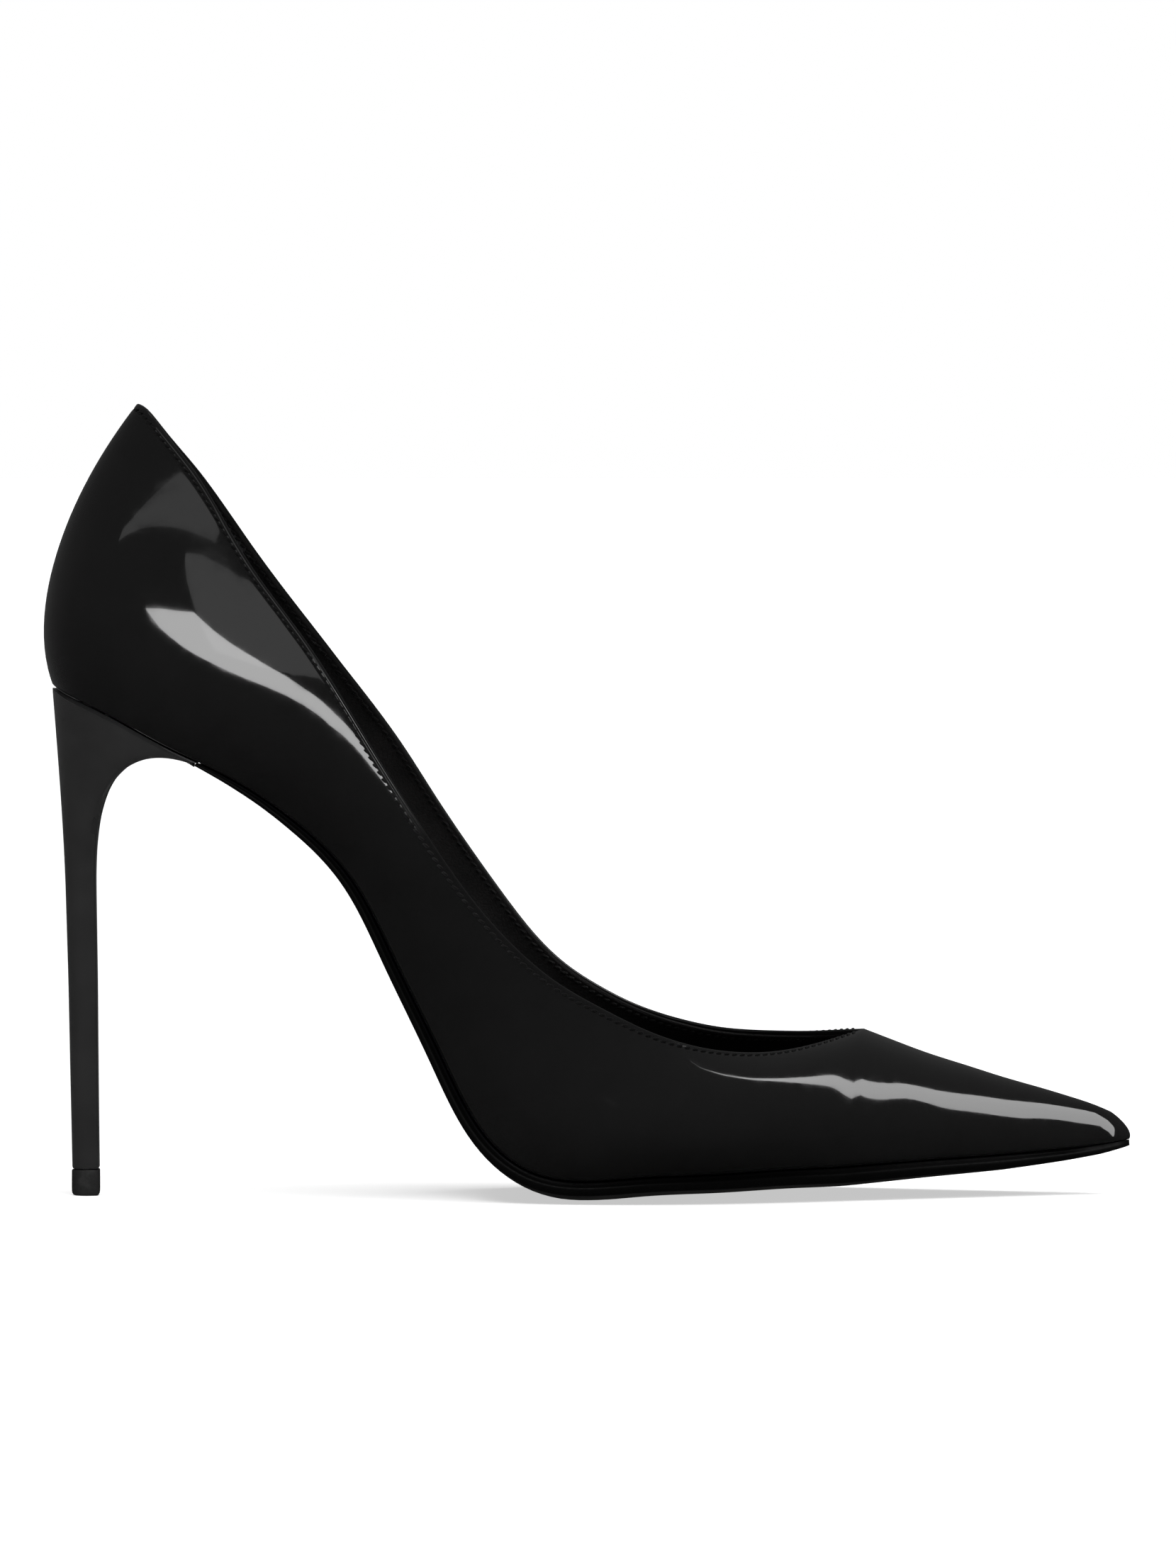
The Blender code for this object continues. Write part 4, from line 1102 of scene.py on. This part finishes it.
def rubber():
    """Moulded black rubber with a fine matt texture and a little dust."""
    look = Look("top_lift_rubber", grey(0.013), 0.68, specular_ior_level=0.35)
    dust = look.ramp(look.noise(3.0, 5), 0.5, 0.75)
    look.colour(look.blend(dust, grey(0.012), grey(0.024)))
    look.roughness(look.ramp(look.noise(0.5, 3), 0.3, 0.7, 0.6, 0.8))
    look.bump(look.noise(0.3, 3), 0.02)
    return look.material


def thread():
    """Bonded black polyester thread, with its twist."""
    look = Look("thread", grey(0.005), 0.5, specular_ior_level=0.4, sheen_weight=0.05)
    twist = look.waves("DIAGONAL", 1.1, 0.6)
    look.colour(look.blend(twist, grey(0.002), grey(0.005)))
    look.roughness(look.ramp(twist, 0, 1, 0.45, 0.6))
    look.bump(twist, 0.03)
    return look.material


def woven_tape():
    """Off-black nylon tape in a plain weave."""
    look = Look("reinforcing_tape", (0.05, 0.05, 0.052), 0.7, sheen_weight=0.2)
    crossed = look.waves("X", 0.9), look.waves("Z", 0.9)
    weave = look.node("ShaderNodeMath", crossed, operation="MULTIPLY")
    look.colour(look.blend(weave, (0.035, 0.035, 0.037), (0.075, 0.075, 0.078)))
    look.roughness(look.ramp(weave, 0, 1, 0.8, 0.62))
    look.bump(weave, 0.06)
    return look.material


def pressed_fibre(name, dark, light, roughness):
    """Board pressed from fibres: a mottled colour with short flecks."""
    look = Look(name, dark, roughness, specular_ior_level=0.3)
    fibres = look.noise(0.7, 4, (4, 1, 1), 1.0)
    mottling = look.noise(5.0, 4)
    flecks = look.ramp(look.noise(0.4, 2, (3, 1, 1), 2.0), 0.62, 0.7)
    base = look.blend(look.ramp(mottling, 0.35, 0.65), dark, light)
    look.colour(look.blend(flecks, base, tuple(part * 0.45 for part in dark)))
    look.roughness(look.ramp(fibres, 0.3, 0.7, roughness - 0.08, roughness + 0.08))
    look.bump(fibres, 0.05)
    return look.material


def cork():
    """Cork granules bound with latex."""
    look = Look("cork", (0.36, 0.21, 0.11), 0.85, specular_ior_level=0.25)
    granules = look.cells(1.9, "F1")
    edges = look.ramp(look.cells(1.9), 0.0, 0.12)
    tone = look.node("ShaderNodeRGBToBW", (granules,))
    base = look.blend(tone, (0.24, 0.12, 0.06), (0.46, 0.29, 0.16))
    look.colour(look.blend(edges, (0.12, 0.065, 0.035), base))
    look.roughness(look.ramp(look.noise(0.6, 3), 0.3, 0.7, 0.75, 0.92))
    look.bump(edges, 0.12)
    look.bump(look.noise(0.5, 3), 0.05)
    return look.material


def foam():
    """Open-cell polyurethane foam."""
    look = Look("foam", (0.55, 0.5, 0.36), 0.95, specular_ior_level=0.15, sheen_weight=0.25)
    pores = look.ramp(look.cells(0.55), 0.0, 0.3)
    look.colour(look.blend(pores, (0.3, 0.26, 0.17), (0.62, 0.57, 0.42)))
    look.roughness(look.ramp(pores, 0, 1, 1.0, 0.88))
    look.bump(pores, 0.15)
    return look.material


def moulded_plastic():
    """Dark moulded plastic with a faint flow pattern."""
    look = Look("heel_plastic", grey(0.05), 0.42)
    flow = look.noise(8.0, 3, (1, 1, 3), 0.8)
    look.colour(look.blend(flow, (0.040, 0.040, 0.042), (0.060, 0.060, 0.061)))
    look.roughness(look.ramp(look.noise(0.8, 3), 0.3, 0.7, 0.36, 0.5))
    look.bump(look.noise(0.5, 3), 0.012)
    return look.material


def drawn_steel():
    """Steel with drawing marks along it and a few dull patches."""
    look = Look("steel", (0.55, 0.55, 0.57), 0.3, metallic=1.0)
    marks = look.noise(0.25, 4, (12, 1, 1))
    dull = look.ramp(look.noise(4.0, 4), 0.5, 0.75)
    look.colour(look.blend(dull, (0.56, 0.56, 0.58), (0.38, 0.37, 0.36)))
    look.roughness(look.ramp(marks, 0.3, 0.7, 0.22, 0.42))
    look.bump(marks, 0.008)
    return look.material


STEEL_PARTS = ("steel_shank", "heel_tube", "top_lift_pin", "heel_screw", "heel_nail", "shank_rivet")


def dress_inner_parts():
    """Gives the CAD parts that stay, inside the shoe, their own materials."""
    steel = drawn_steel()
    board = pressed_fibre("fibreboard", (0.23, 0.17, 0.12), (0.34, 0.26, 0.18), 0.75)
    stiffener = pressed_fibre("stiffener_board", (0.42, 0.36, 0.28), (0.52, 0.46, 0.37), 0.7)
    looks = {
        "heel_counter": stiffener,
        "toe_puff": stiffener,
        "topline_tape": woven_tape(),
        "insole_board": board,
        "shank_board": board,
        "bottom_filler": cork(),
        "heel_core": moulded_plastic(),
    }
    for name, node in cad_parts.items():
        look = looks.get(name, steel if name.startswith(STEEL_PARTS) else None)
        if look:
            for entry in node.material_slots:
                entry.material = look


# ---- stage, light and camera ----

FLOOR_REACH = 40.0
AIM = (0.0, 0.0, 0.085)
QUARTER = (-0.07, -0.024, 0.11)
CAMERA_AWAY = 2.6
CAMERA_RISE = 1.6
LENS = 289
SENSOR = 36
SKY_POWER = 1.75
SKY_ANGLE = 70
# The light panels: name, centre, half their length, half their breadth, glow, what they face.
PANELS = (
    (
        "quarter_light", (-0.125, -0.367, 0.281),
        (0.0798, 0.2915, -0.1617), (0.0325, -0.0207, -0.0213), 5.0, QUARTER,
    ),
    ("broad_light_low", (-0.026, -0.3, 0.2975), (0.026, 0, 0), (0, 0, 0.0625), 0.45, AIM),
    (
        "broad_light_high", (-0.249, -0.262, 0.429),
        (0.2216, 0.0832, -0.1485), (0.0102, -0.0021, 0.0141), 0.4, AIM,
    ),
    (
        "toe_light", (0.209, -0.038, 0.185),
        (-0.104, 0.055, 0.079), (-0.0732, -0.0054, -0.0933), 3.5, AIM,
    ),
)


def make_floor():
    """A pale floor out to the horizon. It glows a little, and the patent doesn't mirror it."""
    look = Look("pale_floor", grey(0.9), 0.9, specular_ior_level=0.0, emission_strength=0.55)
    look.shader.inputs["Emission Color"].default_value = (1, 1, 1, 1)
    look.colour(look.blend(look.noise(3.0, 2), grey(0.9), grey(0.92)))
    corners = [(x, y, 0) for x, y in ((-1, -1), (1, -1), (1, 1), (-1, 1))]
    mesh = bpy.data.meshes.new("floor")
    mesh.from_pydata((np.array(corners) * FLOOR_REACH).tolist(), [], [(0, 1, 2, 3)])
    mesh.materials.append(look.material)
    made = linked("floor", mesh)
    made.visible_glossy = False
    made.visible_shadow = False


def pointed(name, data, place, target):
    """An object that looks from its place at a target."""
    made = linked(name, data)
    made.location = place
    made.rotation_euler = (Vector(target) - Vector(place)).to_track_quat("-Z", "Y").to_euler()
    return made


def make_panel(name, centre, along_panel, across_panel, glow, facing):
    """A light panel from its centre and its two half sides, facing a point; glow is its radiance."""
    long_side, short_side = Vector(along_panel), Vector(across_panel)
    data = bpy.data.lights.new(name, "AREA")
    data.shape = "RECTANGLE"
    data.size, data.size_y = 2 * long_side.length, 2 * short_side.length
    data.energy = glow * math.pi * data.size * data.size_y
    made = linked(name, data)
    x = long_side.normalized()
    z = x.cross(short_side).normalized()
    if z.dot(Vector(centre) - Vector(facing)) < 0:
        z = -z
    y = z.cross(x)
    made.matrix_world = Matrix((x, y, z)).transposed().to_4x4()
    made.location = centre
    made.visible_camera = False


def make_sky():
    """Even soft light from above for the floor and the matt parts, which the patent doesn't mirror."""
    data = bpy.data.lights.new("sky", "SUN")
    data.energy = SKY_POWER
    data.angle = math.radians(SKY_ANGLE)
    made = pointed("sky", data, (0.3, -0.6, 3.0), (0, 0, 0))
    made.visible_glossy = False


def make_camera():
    data = bpy.data.cameras.new("camera")
    data.lens = LENS
    data.sensor_width = SENSOR
    rise = math.radians(CAMERA_RISE)
    away = Vector((0, -math.cos(rise), math.sin(rise))) * CAMERA_AWAY
    bpy.context.scene.camera = pointed("camera", data, Vector(AIM) + away, AIM)


# What the leather mirrors of the room, from straight below (0) to straight above (1): a dim grey that
# brightens evenly, and white in the zenith itself.
ROOM = ((0.0, 0.002), (1.0, 0.09), (1.0, 1.0))


def make_world():
    """White behind the shoe for the camera, and the dim room for what the leather mirrors."""
    world = bpy.data.worlds.new("studio")
    bpy.context.scene.world = world
    world.use_nodes = True
    nodes, links = world.node_tree.nodes, world.node_tree.links
    room = nodes["Background"]
    place = nodes.new("ShaderNodeTexCoord")
    split = nodes.new("ShaderNodeSeparateXYZ")
    height = nodes.new("ShaderNodeMapRange")
    height.inputs["From Min"].default_value = -1
    ramp = nodes.new("ShaderNodeValToRGB")
    stops = ramp.color_ramp.elements
    stops.new(1.0)
    for stop, (share, glow) in zip(stops, ROOM):
        stop.position = share
        stop.color = (*grey(glow), 1)
    links.new(place.outputs["Generated"], split.inputs[0])
    links.new(split.outputs["Z"], height.inputs["Value"])
    links.new(height.outputs[0], ramp.inputs[0])
    links.new(ramp.outputs["Color"], room.inputs["Color"])
    backdrop = nodes.new("ShaderNodeBackground")
    backdrop.inputs["Color"].default_value = (1, 1, 1, 1)
    path = nodes.new("ShaderNodeLightPath")
    mix = nodes.new("ShaderNodeMixShader")
    links.new(path.outputs["Is Camera Ray"], mix.inputs[0])
    links.new(room.outputs[0], mix.inputs[1])
    links.new(backdrop.outputs[0], mix.inputs[2])
    links.new(mix.outputs[0], nodes["World Output"].inputs["Surface"])


make_camera()
make_world()
make_floor()
make_sky()
for panel in PANELS:
    make_panel(*panel)
bpy.context.scene.view_settings.view_transform = "Standard"

make_upper(patent_leather())
make_lining(grained_leather("lining_leather", grey(0.006), (0.011, 0.010, 0.010), 0.6, 0.75, 0.05))
make_stitching(thread())
make_sock(grained_leather("sock_leather", grey(0.014), (0.022, 0.021, 0.021), 0.5, 0.6, 0.035))
make_cushions(foam())
# the third, paler look is a highlight painted along the sole's bottom corner
make_outsole(edge_ink(), sole_leather(), edge_ink("sole_edge_painted_highlight", 0.009, 0.3))
make_heel(patent_leather("heel_patent_leather", 0.015))
make_top_lift(rubber())
dress_inner_parts()

bpy.context.view_layer.update()
